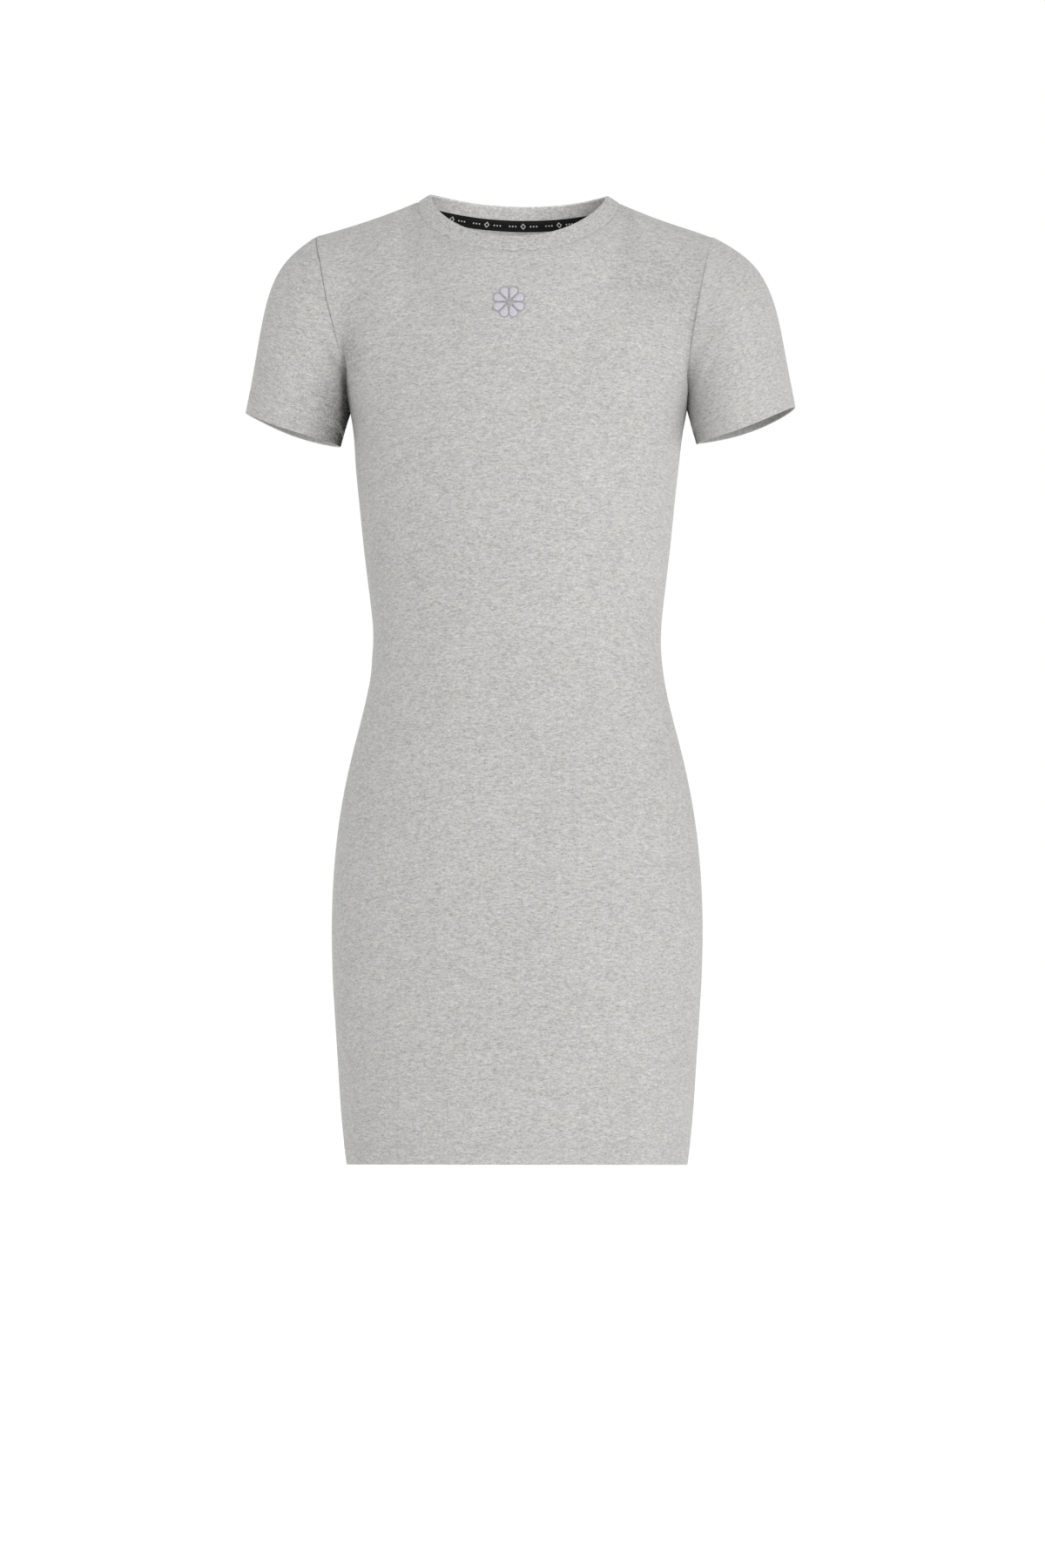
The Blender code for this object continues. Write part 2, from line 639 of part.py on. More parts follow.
def main():
    for obj in list(bpy.data.objects):
        bpy.data.objects.remove(obj, do_unlink=True)

    grids, wall, sleeve_wall = dress_grids(
        NECK_CELLS, SHOULDER_CELLS, SKIRT_ROWS, YOKE_ROWS, SLEEVE_ROWS)
    front, back, band = grids["front"], grids["back"], grids["neckband"]
    sleeves = grids

    rows, cols = front.shape[:2]
    panel_tris = cell_faces(rows, cols, False)
    sleeve_tris = cell_faces(*sleeves["sleeve_left"].shape[:2], True)
    band_tris = cell_faces(*band.shape[:2], True)
    turned = {
        "front": panel_tris,
        "back": panel_tris[:, ::-1],
        "sleeve_left": sleeve_tris,
        "sleeve_right": sleeve_tris[:, ::-1],
        "neckband": band_tris,
    }
    # the outer face of every piece turns away from the body's inside
    for name, centre in (("front", (0, 0, -500)), ("back", (0, 0, -500)),
                         ("sleeve_left", (200, 0, -130)),
                         ("sleeve_right", (-200, 0, -130)),
                         ("neckband", (0, 0, -20))):
        n = normals(grids[name], turned[name])
        away = grids[name] - np.array(centre, float)
        if np.sum(n * away) < 0:
            turned[name] = turned[name][:, ::-1]
    own, shared = seam_normals([(grids[k], turned[k]) for k in grids])
    own, shared = dict(zip(grids, own)), dict(zip(grids, shared))

    grey = (0.53, 0.525, 0.515)
    materials = {
        "front": new_material("jersey_front", grey, 0.95),
        "back": new_material("jersey_back", grey, 0.95),
        "sleeve_left": new_material("jersey_sleeve_left", grey, 0.95),
        "sleeve_right": new_material("jersey_sleeve_right", grey, 0.95),
        "neckband": new_material("jersey_neckband", grey, 0.95),
        "neck_tape": new_material("tape_black", (0.012, 0.012, 0.012), 0.7),
    }

    for name in ("front", "back"):
        edge = inset(grids[name], shared[name], False, SEAM_GAP, "ltr")
        verts, faces = solid(edge, own[name], shared[name], wall,
                             panel_tris, False)
        new_object(name, verts, faces, materials[name])
    for name in ("sleeve_left", "sleeve_right"):
        edge = inset(grids[name], shared[name], True, SEAM_GAP, "b")
        verts, faces = solid(edge, own[name], shared[name], sleeve_wall,
                             sleeve_tris, True)
        new_object(name, verts, faces, materials[name])

    # neckband: the fold's edge is rounded off
    edge = inset(band, shared["neckband"], True, SEAM_GAP, "b")
    band_wall = np.full(band.shape[0], BAND_WALL)
    edge[-1] -= shared["neckband"][-1] * 0.7
    band_wall[-1] = BAND_WALL - 1.4
    verts, faces = solid(edge, own["neckband"], shared["neckband"],
                         band_wall, band_tris, True)
    new_object("neckband", verts, faces, materials["neckband"])

    # neck tape: the back panel's top cells between the neck points, moved in
    first = SHOULDER_CELLS
    keep = slice(first, cols - first)
    strip = back[-2:, keep]
    n = shared["back"][-2:, keep].copy()
    n[1] = n[0] = unit(n[0] + n[1])
    drop = unit(strip[0] - strip[1])
    top = strip[1] + drop * 0.7
    low = strip[0] - drop * 0.3
    outer = np.array([low, top])
    outer[:, 0] += (outer[:, 1] - outer[:, 0]) * 0.06
    outer[:, -1] += (outer[:, -2] - outer[:, -1]) * 0.06
    outer = outer - n * (WALL + SEAM_GAP + 0.15)
    tape_tris = cell_faces(2, outer.shape[1], False)
    verts, faces = solid(outer, n, n, np.full(2, TAPE_WALL), tape_tris, False)
    new_object("neck_tape", verts, faces, materials["neck_tape"])


main()
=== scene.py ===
"""Looks of the t-shirt dress: jersey, seams, stitches, tape and a small motif.

The cloth follows the same sizes as the frame's pieces, read much finer, so
every shell lies on the form of the node that it replaces.  Sizes are in
millimetres until a mesh is made.
"""

import math

import bpy
import numpy as np
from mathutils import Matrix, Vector


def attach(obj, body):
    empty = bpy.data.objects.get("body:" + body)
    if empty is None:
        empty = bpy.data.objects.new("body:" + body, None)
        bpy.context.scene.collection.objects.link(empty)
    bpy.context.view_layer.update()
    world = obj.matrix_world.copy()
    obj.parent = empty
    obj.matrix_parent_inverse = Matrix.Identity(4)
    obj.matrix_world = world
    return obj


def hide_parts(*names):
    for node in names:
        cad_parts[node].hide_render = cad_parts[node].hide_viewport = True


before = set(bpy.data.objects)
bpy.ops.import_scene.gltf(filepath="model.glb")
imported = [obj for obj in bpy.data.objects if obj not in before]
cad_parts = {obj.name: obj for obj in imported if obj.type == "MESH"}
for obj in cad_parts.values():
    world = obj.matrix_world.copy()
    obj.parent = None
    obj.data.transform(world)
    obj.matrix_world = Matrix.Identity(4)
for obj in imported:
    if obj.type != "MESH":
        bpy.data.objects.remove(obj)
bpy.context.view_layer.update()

MM = 0.001

# ------------------------------------------------------------------ camera
AZIMUTH = 4.0  # degrees, from the front towards +X
DISTANCE = 4.0
TARGET = Vector((0.0052, 0.0, -0.541))

camera_data = bpy.data.cameras.new("camera")
camera = bpy.data.objects.new("camera", camera_data)
bpy.context.scene.collection.objects.link(camera)
azimuth = math.radians(AZIMUTH)
camera.location = TARGET + DISTANCE * Vector(
    (math.sin(azimuth), -math.cos(azimuth), 0.0))
camera.rotation_euler = (math.pi / 2, 0.0, azimuth)
camera_data.sensor_fit = "VERTICAL"
camera_data.sensor_height = 36.0
camera_data.lens = 100.0
camera_data.clip_start = 0.05
camera_data.clip_end = 60.0
bpy.context.scene.camera = camera

# ------------------------------------------------- the garment's sizes (mm)
UNDERARM_HEIGHT = -199.0
FOLD_BELOW = -140.0
NECK_SHARE = 0.5
EASE = 0.20
ARMHOLE_REACH = 4.0
HEM_RISE = 9.3

BODY_COLUMNS = ("height", "half_width", "front", "back", "roundness")
BODY = (
    (-890.0, 156.2, 107.0, 112.0, 2.30),
    (-869.0, 158.8, 107.8, 113.2, 2.30),
    (-845.0, 161.2, 108.6, 114.6, 2.30),
    (-797.0, 164.4, 110.0, 118.0, 2.30),
    (-725.0, 168.8, 111.0, 122.5, 2.30),
    (-665.0, 170.0, 110.5, 124.5, 2.28),
    (-605.0, 166.8, 108.0, 122.0, 2.25),
    (-557.0, 160.4, 104.0, 114.0, 2.22),
    (-509.0, 150.0, 99.5, 102.0, 2.20),
    (-461.0, 138.0, 96.5, 91.0, 2.20),
    (-413.0, 132.0, 97.5, 85.5, 2.20),
    (-365.0, 135.6, 104.0, 87.5, 2.20),
    (-325.0, 140.4, 110.5, 92.5, 2.22),
    (-285.0, 144.4, 113.5, 97.5, 2.25),
    (-245.0, 148.4, 111.5, 101.5, 2.28),
    (-215.0, 151.6, 107.5, 103.0, 2.30),
    (-199.0, 154.6, 105.0, 103.4, 2.30),
)

ARMHOLE_COLUMNS = ("height", "half_width", "front", "back")
ARMHOLE = (
    (-199.0, 154.6, 0.0, 0.0),
    (-188.0, 155.8, 20.0, 22.0),
    (-167.0, 158.8, 37.0, 42.0),
    (-133.0, 164.3, 48.0, 54.0),
    (-96.0, 171.0, 46.5, 53.5),
    (-66.0, 176.6, 32.0, 38.0),
    (-46.5, 180.0, 13.0, 17.0),
    (-39.0, 181.0, -3.0, 3.0),
)

SHOULDER_COLUMNS = ("half_width", "height", "back")
SHOULDER = (
    (93.0, -7.5, 1.0),
    (103.0, -11.6, 1.2),
    (119.0, -17.7, 1.5),
    (137.0, -24.0, 1.9),
    (157.0, -30.6, 2.4),
    (181.0, -39.0, 3.0),
)

NECK_COLUMNS = ("edge", "half_width", "front", "back", "side_height",
                "front_height", "back_height", "front_lift", "back_lift")
NECK = (
    ("seam", 93.0, 78.0, 60.0, -7.5, -60.5, -15.8, 0.0, 1.2),
    ("fold", 81.0, 70.0, 57.5, 0.0, -45.8, -3.4, 2.3, 2.3),
)
NECK_ROUNDNESS = 2.12
NECK_TILT = 1.15

CUFF_CENTRE = (208.0, 0.0, -213.5)
CUFF_TILT = 20.8
CUFF_HALF_WIDTH = 46.8
CUFF_FRONT = 55.0
CUFF_BACK = 58.0
CUFF_ROUNDNESS = 2.1
CUFF_SAG = 2.5

SHOULDER_SLOPE = 0.017
SHOULDER_SHIFT = 1.7
CUFF_DROOP = 3.0
CUFF_SPREAD = 2.2
HEM_DROP = 1.6

SLEEVE_COLUMNS = ("share", "out", "fore", "down", "pull", "hang", "flare")
SLEEVE = (
    (0.00, 0.906, 0.00, 0.424, 187.0, 317.0, 0.205),
    (0.25, 0.87, 0.17, 0.46, 150.0, 220.0, 0.205),
    (0.50, 0.79, 0.14, 0.60, 92.0, 110.0, 0.21),
    (0.75, 0.60, 0.12, 0.79, 44.0, 54.0, 0.24),
    (1.00, 0.28, 0.00, 0.96, 14.0, 18.0, 0.25),
)

# ------------------------------------------------ the looks' own sizes (mm)
LAYER = 0.95  # one layer of jersey
HEM_DOUBLE = 1.9  # two layers
HEM_DEPTH = 20.6  # of the turned-up hems, to the cut edge inside
STITCH_ROWS = (15.0, 20.2)  # twin-needle rows above a hem's edge
NECK_STITCH_ROWS = (1.5, 4.9)  # twin-needle rows outside the neck seam
STITCH_PITCH = 2.9
BAND_THICK = 2.3
TAPE_WIDTH = 10.0

# Where the meshes get finer: distances from a cut edge and from a hem's edge.
EDGE_STOPS = (0.0, 0.35, 0.8, 1.4, 2.4, 4.0, 6.5)
NECK_STOPS = (0.0, 0.4, 0.9, 1.5, 2.2, 3.2, 4.2, 4.9, 5.6, 7.2, 9.5, 12.5)
HEM_STOPS = (0.0, 0.3, 0.7, 1.2, 2.0, 4.0, 7.5, 11.0, 13.4, 14.3, 15.0, 15.7,
             16.8, 18.4, 19.5, 20.2, 20.9, 21.8, 24.0, 28.0)


# ----------------------------------------------------- shapes, as the frame
def spline(xs, ys):
    """Natural cubic through a table's rows; returns a function of x."""
    xs = np.asarray(xs, float)
    ys = np.asarray(ys, float)
    n = len(xs)
    h = np.diff(xs)
    a = np.zeros((n, n))
    r = np.zeros(n)
    a[0, 0] = a[-1, -1] = 1.0
    for i in range(1, n - 1):
        a[i, i - 1], a[i, i], a[i, i + 1] = h[i - 1], 2 * (h[i - 1] + h[i]), h[i]
        r[i] = 6 * ((ys[i + 1] - ys[i]) / h[i] - (ys[i] - ys[i - 1]) / h[i - 1])
    m = np.linalg.solve(a, r)

    def at(x):
        x = np.clip(np.asarray(x, float), xs[0], xs[-1])
        i = np.clip(np.searchsorted(xs, x) - 1, 0, n - 2)
        d, e, w = x - xs[i], xs[i + 1] - x, h[i]
        return (m[i] * e**3 + m[i + 1] * d**3) / (6 * w) + (
            ys[i] / w - m[i] * w / 6) * e + (ys[i + 1] / w - m[i + 1] * w / 6) * d

    return at


def column(table, names, name):
    k = names.index(name)
    return [row[k] for row in table]


def unit(v):
    v = np.asarray(v, float)
    return v / np.maximum(np.linalg.norm(v, axis=-1, keepdims=True), 1e-12)


def lengths(points):
    step = np.linalg.norm(np.diff(points, axis=0), axis=1)
    return np.concatenate([[0.0], np.cumsum(step)])


def hermite(a, ta, b, tb, t):
    t = np.asarray(t, float)[..., None]
    return ((2 * t**3 - 3 * t**2 + 1) * a + (t**3 - 2 * t**2 + t) * ta
            + (3 * t**2 - 2 * t**3) * b + (t**3 - t**2) * tb)


def quarter_oval(width, depth, roundness, shares):
    p = np.linspace(0.0, math.pi / 2, 181)
    x = width * np.sin(p) ** (2 / roundness)
    y = depth * np.clip(np.cos(p), 0, 1) ** (2 / roundness)
    s = lengths(np.stack([x, y], 1))
    f = np.asarray(shares, float) * s[-1]
    return np.interp(f, s, x), np.interp(f, s, y)


BODY_AT = {name: spline(column(BODY, BODY_COLUMNS, "height"),
                        column(BODY, BODY_COLUMNS, name))
           for name in BODY_COLUMNS[1:]}


def body_points(us, height, face):
    """Points of the body at shares us (-1 to 1) between the side seams."""
    us = np.asarray(us, float)
    depth = float(BODY_AT["front" if face < 0 else "back"](height))
    x, y = quarter_oval(float(BODY_AT["half_width"](height)), depth,
                        float(BODY_AT["roundness"](height)), np.abs(us))
    rise = np.zeros(len(us))
    if face < 0:
        low = BODY[0][0]
        fade = np.clip((-640.0 - height) / (-640.0 - low), 0.0, 1.0) ** 2
        rise = HEM_RISE * fade * y / depth
    return np.stack([np.copysign(x, us), face * y, height + rise], 1)


def armhole_curve(face):
    z = np.array(column(ARMHOLE, ARMHOLE_COLUMNS, "height"))
    x = np.array(column(ARMHOLE, ARMHOLE_COLUMNS, "half_width"))
    y = face * np.array(column(
        ARMHOLE, ARMHOLE_COLUMNS, "front" if face < 0 else "back"))
    p = np.stack([x, y, z], 1)
    s = lengths(p)
    fx, fy, fz = (spline(s, p[:, k]) for k in range(3))
    fine = np.linspace(0.0, s[-1], 200)
    q = np.stack([fx(fine), fy(fine), fz(fine)], 1)
    t = lengths(q)

    def at(share):
        f = np.interp(np.asarray(share, float) * t[-1], t, fine)
        return np.stack([fx(f), fy(f), fz(f)], -1)

    return at


ARMHOLE_AT = {face: armhole_curve(face) for face in (-1, 1)}
SHOULDER_Z = spline(column(SHOULDER, SHOULDER_COLUMNS, "half_width"),
                    column(SHOULDER, SHOULDER_COLUMNS, "height"))
SHOULDER_Y = spline(column(SHOULDER, SHOULDER_COLUMNS, "half_width"),
                    column(SHOULDER, SHOULDER_COLUMNS, "back"))


def neck_point(edge, q, face):
    row = dict(zip(NECK_COLUMNS, NECK[0] if edge == "seam" else NECK[1]))
    depth = row["front" if face < 0 else "back"]
    x, y = quarter_oval(row["half_width"], depth, NECK_ROUNDNESS, [abs(q)])
    end = row["front_height" if face < 0 else "back_height"]
    s = y[0] / depth
    z = row["side_height"] + (end - row["side_height"]) * (
        s ** NECK_TILT if face < 0 else s * s)
    z += row["front_lift" if face < 0 else "back_lift"] * math.sin(math.pi * s)
    y_side = SHOULDER[0][2]
    return np.array([math.copysign(x[0], q),
                     face * y[0] + y_side * (1 - s), z])


def top_point(u, face):
    a = abs(u)
    if a <= NECK_SHARE:
        return neck_point("seam", u / NECK_SHARE, face)
    f = (a - NECK_SHARE) / (1 - NECK_SHARE)
    x = SHOULDER[0][0] + f * (SHOULDER[-1][0] - SHOULDER[0][0])
    return np.array([math.copysign(x, u), float(SHOULDER_Y(x)),
                     float(SHOULDER_Z(x))])


def top_direction(u, face):
    a = abs(u)
    sign = math.copysign(1.0, u)
    over = np.array([0.0, -face, 0.0])
    if a >= NECK_SHARE:
        f = (a - NECK_SHARE) / (1 - NECK_SHARE)
        inward = np.array([-0.94 * sign, 0.0, 0.34])
        return unit(over + 0.75 * (1 - f) ** 1.5 * inward)
    q = u / NECK_SHARE
    up = unit(neck_point("fold", q, face) - neck_point("seam", q, face))
    e = 1e-3
    b = min(abs(q), 1 - e)
    along = unit(neck_point("seam", sign * (b + e), face)
                 - neck_point("seam", sign * (b - e), face))
    return unit(up + 1.2 * abs(q) ** 3 * along)


def yoke_ends(u, face):
    z = UNDERARM_HEIGHT
    start, below = body_points([u], z, face)[0], body_points(
        [u], z - 6.0, face)[0]
    rise = unit(start - below)
    top = top_point(u, face)
    a = abs(u)
    chord = np.linalg.norm(top - start)
    round_over = np.clip((a - 0.1) / 0.6, 0.0, 1.0)
    round_over = round_over * round_over * (3 - 2 * round_over)
    pull = chord * (1.0 + 0.45 * round_over)
    lean = (1 - round_over) * chord * 1.0 + round_over * 1.55 * max(
        40.0, abs(top[1] - start[1]))
    return start, rise * pull, top, top_direction(u, face) * lean


def yoke_top_table(face):
    u = np.linspace(-1.0, 1.0, 161)
    ends = [yoke_ends(k, face)[2:] for k in u]
    table = []
    for k in (0, 1):
        v = np.array([e[k] for e in ends])
        table.append(np.concatenate([2 * v[0] - v[:0:-1], v,
                                     2 * v[-1] - v[-2::-1]]))
    return (np.concatenate([-2 - u[:0:-1], u, 2 - u[-2::-1]]), *table)


YOKE_TOP = {face: yoke_top_table(face) for face in (-1, 1)}


def eased_column(u, t, face):
    us, tops, leans = YOKE_TOP[face]
    width = EASE * (1 - t) ** 0.8 + 0.004

    def bell(spread):
        w = np.exp(-0.5 * ((us[None, :] - u) / (spread * width[:, None])) ** 2)
        return w / w.sum(axis=1, keepdims=True)

    w = 2 * bell(1.0) - bell(math.sqrt(2.0))
    start, pull, top, lean = yoke_ends(u, face)
    near = np.clip((width - 0.006) / 0.02, 0.0, 1.0)[:, None]
    top = top + near * (w @ tops - top)
    lean = lean + near * (w @ leans - lean)
    return hermite(start, pull, top, lean, t)


YOKE_FINE = np.linspace(0.0, 1.0, 61)
ARMHOLE_EDGE = {(face, sign): eased_column(sign, YOKE_FINE, face)
                for face in (-1, 1) for sign in (-1.0, 1.0)}


def yoke_column(u, face):
    """A panel's column from underarm level to its top edge, at YOKE_FINE."""
    sign = math.copysign(1.0, u)
    p = eased_column(u, YOKE_FINE, face)
    arm = ARMHOLE_AT[face](YOKE_FINE) * np.array([sign, 1.0, 1.0])
    return p + abs(u) ** ARMHOLE_REACH * (arm - ARMHOLE_EDGE[face, sign])


SLEEVE_AT = {}
for _name in SLEEVE_COLUMNS[1:]:
    _share = np.array(column(SLEEVE, SLEEVE_COLUMNS, "share"))
    _value = np.array(column(SLEEVE, SLEEVE_COLUMNS, _name))
    SLEEVE_AT[_name] = spline(
        np.concatenate([-_share[::-1][:-1], _share, 2 - _share[::-1][1:]]),
        np.concatenate([(-1 if _name == "fore" else 1) * _value[::-1][:-1],
                        _value,
                        (-1 if _name == "fore" else 1) * _value[::-1][1:]]))


def cuff_point(share, face):
    depth = CUFF_FRONT if face < 0 else CUFF_BACK
    a = share if share <= 0.5 else 1 - share
    w, d = quarter_oval(CUFF_HALF_WIDTH, depth, CUFF_ROUNDNESS, [1 - 2 * a])
    w = w[0] if share <= 0.5 else -w[0]
    tilt = math.radians(CUFF_TILT)
    sag = CUFF_SAG * (1 - (w / CUFF_HALF_WIDTH) ** 2)
    c = np.array(CUFF_CENTRE)
    return c + np.array([w * math.cos(tilt), face * d[0],
                         w * math.sin(tilt) - sag])


def sleeve_column(start, share, face):
    k = {name: float(at(share)) for name, at in SLEEVE_AT.items()}
    leave = unit([k["out"], face * k["fore"], -k["down"]]) * k["pull"]
    reach = unit([k["flare"], 0.0, -1.0]) * k["hang"]
    return start, leave, cuff_point(share, face), reach


def ramp(x, low, high):
    t = np.clip((x - low) / (high - low), 0.0, 1.0)
    return t * t * (3 - 2 * t)


def askew(grid):
    out = grid.copy()
    z = grid[..., 2]
    out[..., 0] += SHOULDER_SHIFT * ramp(z, -280.0, -170.0)
    out[..., 2] -= SHOULDER_SLOPE * grid[..., 0] * ramp(z, -200.0, -35.0)
    out[..., 2] -= CUFF_DROOP * ramp(-grid[..., 0], 165.0, 230.0) * ramp(
        -z, 90.0, 190.0)
    out[..., 0] += CUFF_SPREAD * ramp(grid[..., 0], 160.0, 225.0) * ramp(
        -z, 50.0, 120.0)
    out[..., 2] -= HEM_DROP * (0.5 - grid[..., 0] / 320.0) * ramp(
        -z, 640.0, 880.0)
    return out


def resample(points, want):
    """Points at running lengths want of a finely sampled line, by a cubic
    through its samples."""
    s = lengths(points)
    return np.stack([spline(s, points[:, k])(want) for k in range(3)], 1)


# ------------------------------------------------------------- finer grids
def fine_columns():
    neck = np.linspace(0.0, NECK_SHARE, 27)
    neck = np.unique(np.concatenate([neck, [0.487, 0.494, 0.4975]]))
    edge = 1.0 - np.array([0.0, 0.0018, 0.004, 0.0072, 0.012, 0.020, 0.0325])
    shoulder = np.concatenate([[0.5025, 0.506, 0.513],
                               np.linspace(0.527, 0.95, 17), edge[::-1]])
    half = np.concatenate([neck, shoulder])
    return np.concatenate([-half[::-1], half[1:]])


def between(low, high, cells):
    """Inner stops from low to high, without both ends."""
    return np.linspace(low, high, cells + 1)[1:-1]


US = fine_columns()
YOKE_MIDDLE = 26
SKIRT_MIDDLE = 96


def panel_grid(face):
    """Outer face as [row][column] from hem to top, with each row's place."""
    low = BODY[0][0]
    height = UNDERARM_HEIGHT - low
    stops = np.concatenate([HEM_STOPS, between(HEM_STOPS[-1], height,
                                               SKIRT_MIDDLE)])
    rows = [body_points(US, low + s, face) for s in stops]
    cols = []
    top = np.array(NECK_STOPS)[::-1]
    for u in US:
        p = yoke_column(u, face)
        total = lengths(p)[-1]
        foot = np.array(EDGE_STOPS)
        want = np.concatenate([foot, between(foot[-1], total - top[0],
                                             YOKE_MIDDLE), total - top])
        cols.append(resample(p, want))
    yoke = np.array(cols).transpose(1, 0, 2)
    return np.concatenate([np.array(rows), yoke]), len(rows)


def sleeve_grid(front_edge, back_edge):
    ring = []
    for face, edge in ((-1, front_edge), (1, back_edge)):
        s = lengths(edge)
        share = 1 - s / s[-1]
        order = range(len(edge) - 1, 0, -1) if face < 0 else range(
            0, len(edge) - 1)
        ring += [(edge[k], share[k], face) for k in order]
    fine = np.linspace(0.0, 1.0, 81)
    cols = []
    for start, share, face in ring:
        p = hermite(*sleeve_column(start, share, face), fine)
        total = lengths(p)[-1]
        head = np.array(EDGE_STOPS)
        foot = np.array(HEM_STOPS)[::-1]
        # the underarm is short: its stops close up so that they stay in order
        room = total - head[-1] - foot[0]
        if room < 12.0:
            squeeze = (total - 12.0) / (head[-1] + foot[0])
            head, foot = head * min(1.0, squeeze), foot * min(1.0, squeeze)
        want = np.concatenate([head, between(head[-1], total - foot[0], 30),
                               total - foot])
        cols.append(resample(p, want))
    return np.array(cols).transpose(1, 0, 2)


BAND_ROWS = (0.0, 0.02, 0.045, 0.08, 0.14, 0.26, 0.40, 0.54, 0.68, 0.80, 0.88,
             0.935, 0.965, 0.985, 1.0)


def band_grid():
    half = US[US >= 0]
    q = half[half <= NECK_SHARE + 1e-9] / NECK_SHARE
    ring = [(a, -1) for a in np.concatenate([q[::-1], -q[1:]])]
    ring += [(a, 1) for a in np.concatenate([-q[::-1][1:], q[1:-1]])]
    ends = [(neck_point("seam", a, f), neck_point("fold", a, f))
            for a, f in ring]
    return np.array([[p + r * (e - p) for p, e in ends] for r in BAND_ROWS])


def cell_faces(rows, cols, closed):
    """Quads over a grid of rows x cols points, numbered row by row."""
    i, j = np.meshgrid(np.arange(rows - 1),
                       np.arange(cols if closed else cols - 1), indexing="ij")
    k = (j + 1) % cols
    return np.stack([i * cols + j, i * cols + k, (i + 1) * cols + k,
                     (i + 1) * cols + j], -1).reshape(-1, 4)


def normals(points, quads):
    flat = points.reshape(-1, 3)
    a, b, c, d = (flat[quads[:, k]] for k in range(4))
    f = np.cross(c - a, d - b)
    n = np.zeros_like(flat)
    for k in range(4):
        np.add.at(n, quads[:, k], f)
    return unit(n).reshape(points.shape)


# -------------------------------------------------- where each point lies
def running(grid, axis):
    """Running length along the rows (axis 1) or the columns (axis 0)."""
    step = np.linalg.norm(np.diff(grid, axis=axis), axis=-1)
    pad = [(0, 0), (0, 0)]
    pad[axis] = (1, 0)
    return np.pad(np.cumsum(step, axis=axis), pad)


def seam_profile(d, depth, lift, width=7.0):
    """How the face stands at distance d from a seam: a groove where the
    cloth turns in, and the band where the seam's allowance lies under it."""
    groove = -depth * np.exp(-(d / 0.75) ** 2)
    return groove + lift * ramp(d, 0.5, 2.0) * (1 - ramp(d, width - 1.5,
                                                         width + 1.5))


def stitch_profile(d, rows, depth):
    """Troughs that rows of stitches press into the cloth."""
    out = np.zeros_like(d)
    for row in rows:
        out -= depth * np.exp(-((d - row) / 0.6) ** 2)
    return out


def half_round(d, thick):
    """Half the thickness of a folded edge at distance d from the fold."""
    r = thick / 2
    t = np.clip(1 - d / r, 0.0, 1.0)
    return np.maximum(r * np.sqrt(1 - t * t), 0.22 * r)


# Creases and soft swells, each along a line on the cloth: from and to are
# (across, height), across being the distance from the panel's centre line
# over the cloth, width its half width, and rise its height out of the cloth.
CREASE_COLUMNS = ("from_across", "from_height", "to_across", "to_height",
                  "width", "rise")
FRONT_CREASES = (
    (-196, -206, -118, -262, 13, -1.3),
    (-190, -238, -132, -292, 15, 0.9),
    (194, -206, 126, -254, 12, -0.5),
    (188, -236, 120, -300, 17, 0.5),
    (-128, -148, -112, -196, 13, -1.1),
    (128, -150, 104, -206, 15, -0.6),
    (108, -152, 82, -196, 16, 0.7),
    (-188, -392, -118, -404, 10, -0.9),
    (-192, -424, -134, -426, 9, 0.6),
    (-186, -446, -128, -440, 10, -0.7),
    (186, -404, 122, -412, 9, -0.8),
    (188, -436, 130, -436, 11, -0.7),
    (-64, -640, 48, -652, 34, -1.5),
    (-40, -800, -52, -888, 26, 0.9),
    (64, -790, 74, -888, 24, -0.9),
)
BACK_CREASES = (
    (-72, -392, 66, -400, 13, -2.0),
    (-58, -418, 74, -424, 12, 1.4),
    (-92, -446, 40, -441, 12, -1.7),
    (-20, -470, 84, -476, 13, -1.1),
    (-176, -348, -92, -384, 13, -1.3),
    (172, -342, 98, -380, 12, -1.2),
    (-178, -410, -120, -424, 11, -0.9),
    (180, -404, 118, -420, 12, -1.0),
    (-196, -206, -112, -268, 14, -1.4),
    (194, -206, 120, -262, 13, -1.3),
    (-136, -146, -118, -206, 14, -1.2),
    (134, -148, 112, -204, 13, -1.1),
    (-4, -86, 3, -214, 34, -1.3),
    (-92, -700, -20, -742, 30, -1.3),
    (90, -694, 22, -744, 30, -1.4),
    (-46, -796, -58, -888, 26, 1.0),
    (40, -786, 54, -888, 24, -1.0),
)
SLEEVE_CREASES = (
    # across is the distance round the sleeve from its top line, positive on
    # the front; height is the distance above the hem
    (96, 92, 128, 40, 10, -1.0),
    (66, 128, 92, 74, 11, 0.7),
    (-98, 96, -130, 42, 11, -1.1),
    (-64, 132, -92, 78, 11, 0.7),
    (30, 168, 62, 140, 12, -0.7),
    (-28, 170, -60, 140, 12, -0.8),
)


# on the front of the +X sleeve, with across as x and height as z
ARM_FOLDS = (
    (160, -158, 189, -117, 6, -1.0),
    (170, -160, 198, -124, 9, 0.8),
)


def creases(table, across, height):
    out = np.zeros_like(across)
    for ax, ah, bx, bh, width, rise in table:
        a, d = np.array([ax, ah], float), np.array([bx - ax, bh - ah], float)
        run = np.hypot(*d)
        px, ph = across - a[0], height - a[1]
        t = (px * d[0] + ph * d[1]) / run**2
        side = (px * -d[1] + ph * d[0]) / run
        off = np.abs(t - 0.5) * 2
        out += rise * np.exp(-(side / width) ** 2) * np.exp(-(off / 0.85) ** 4)
    return out


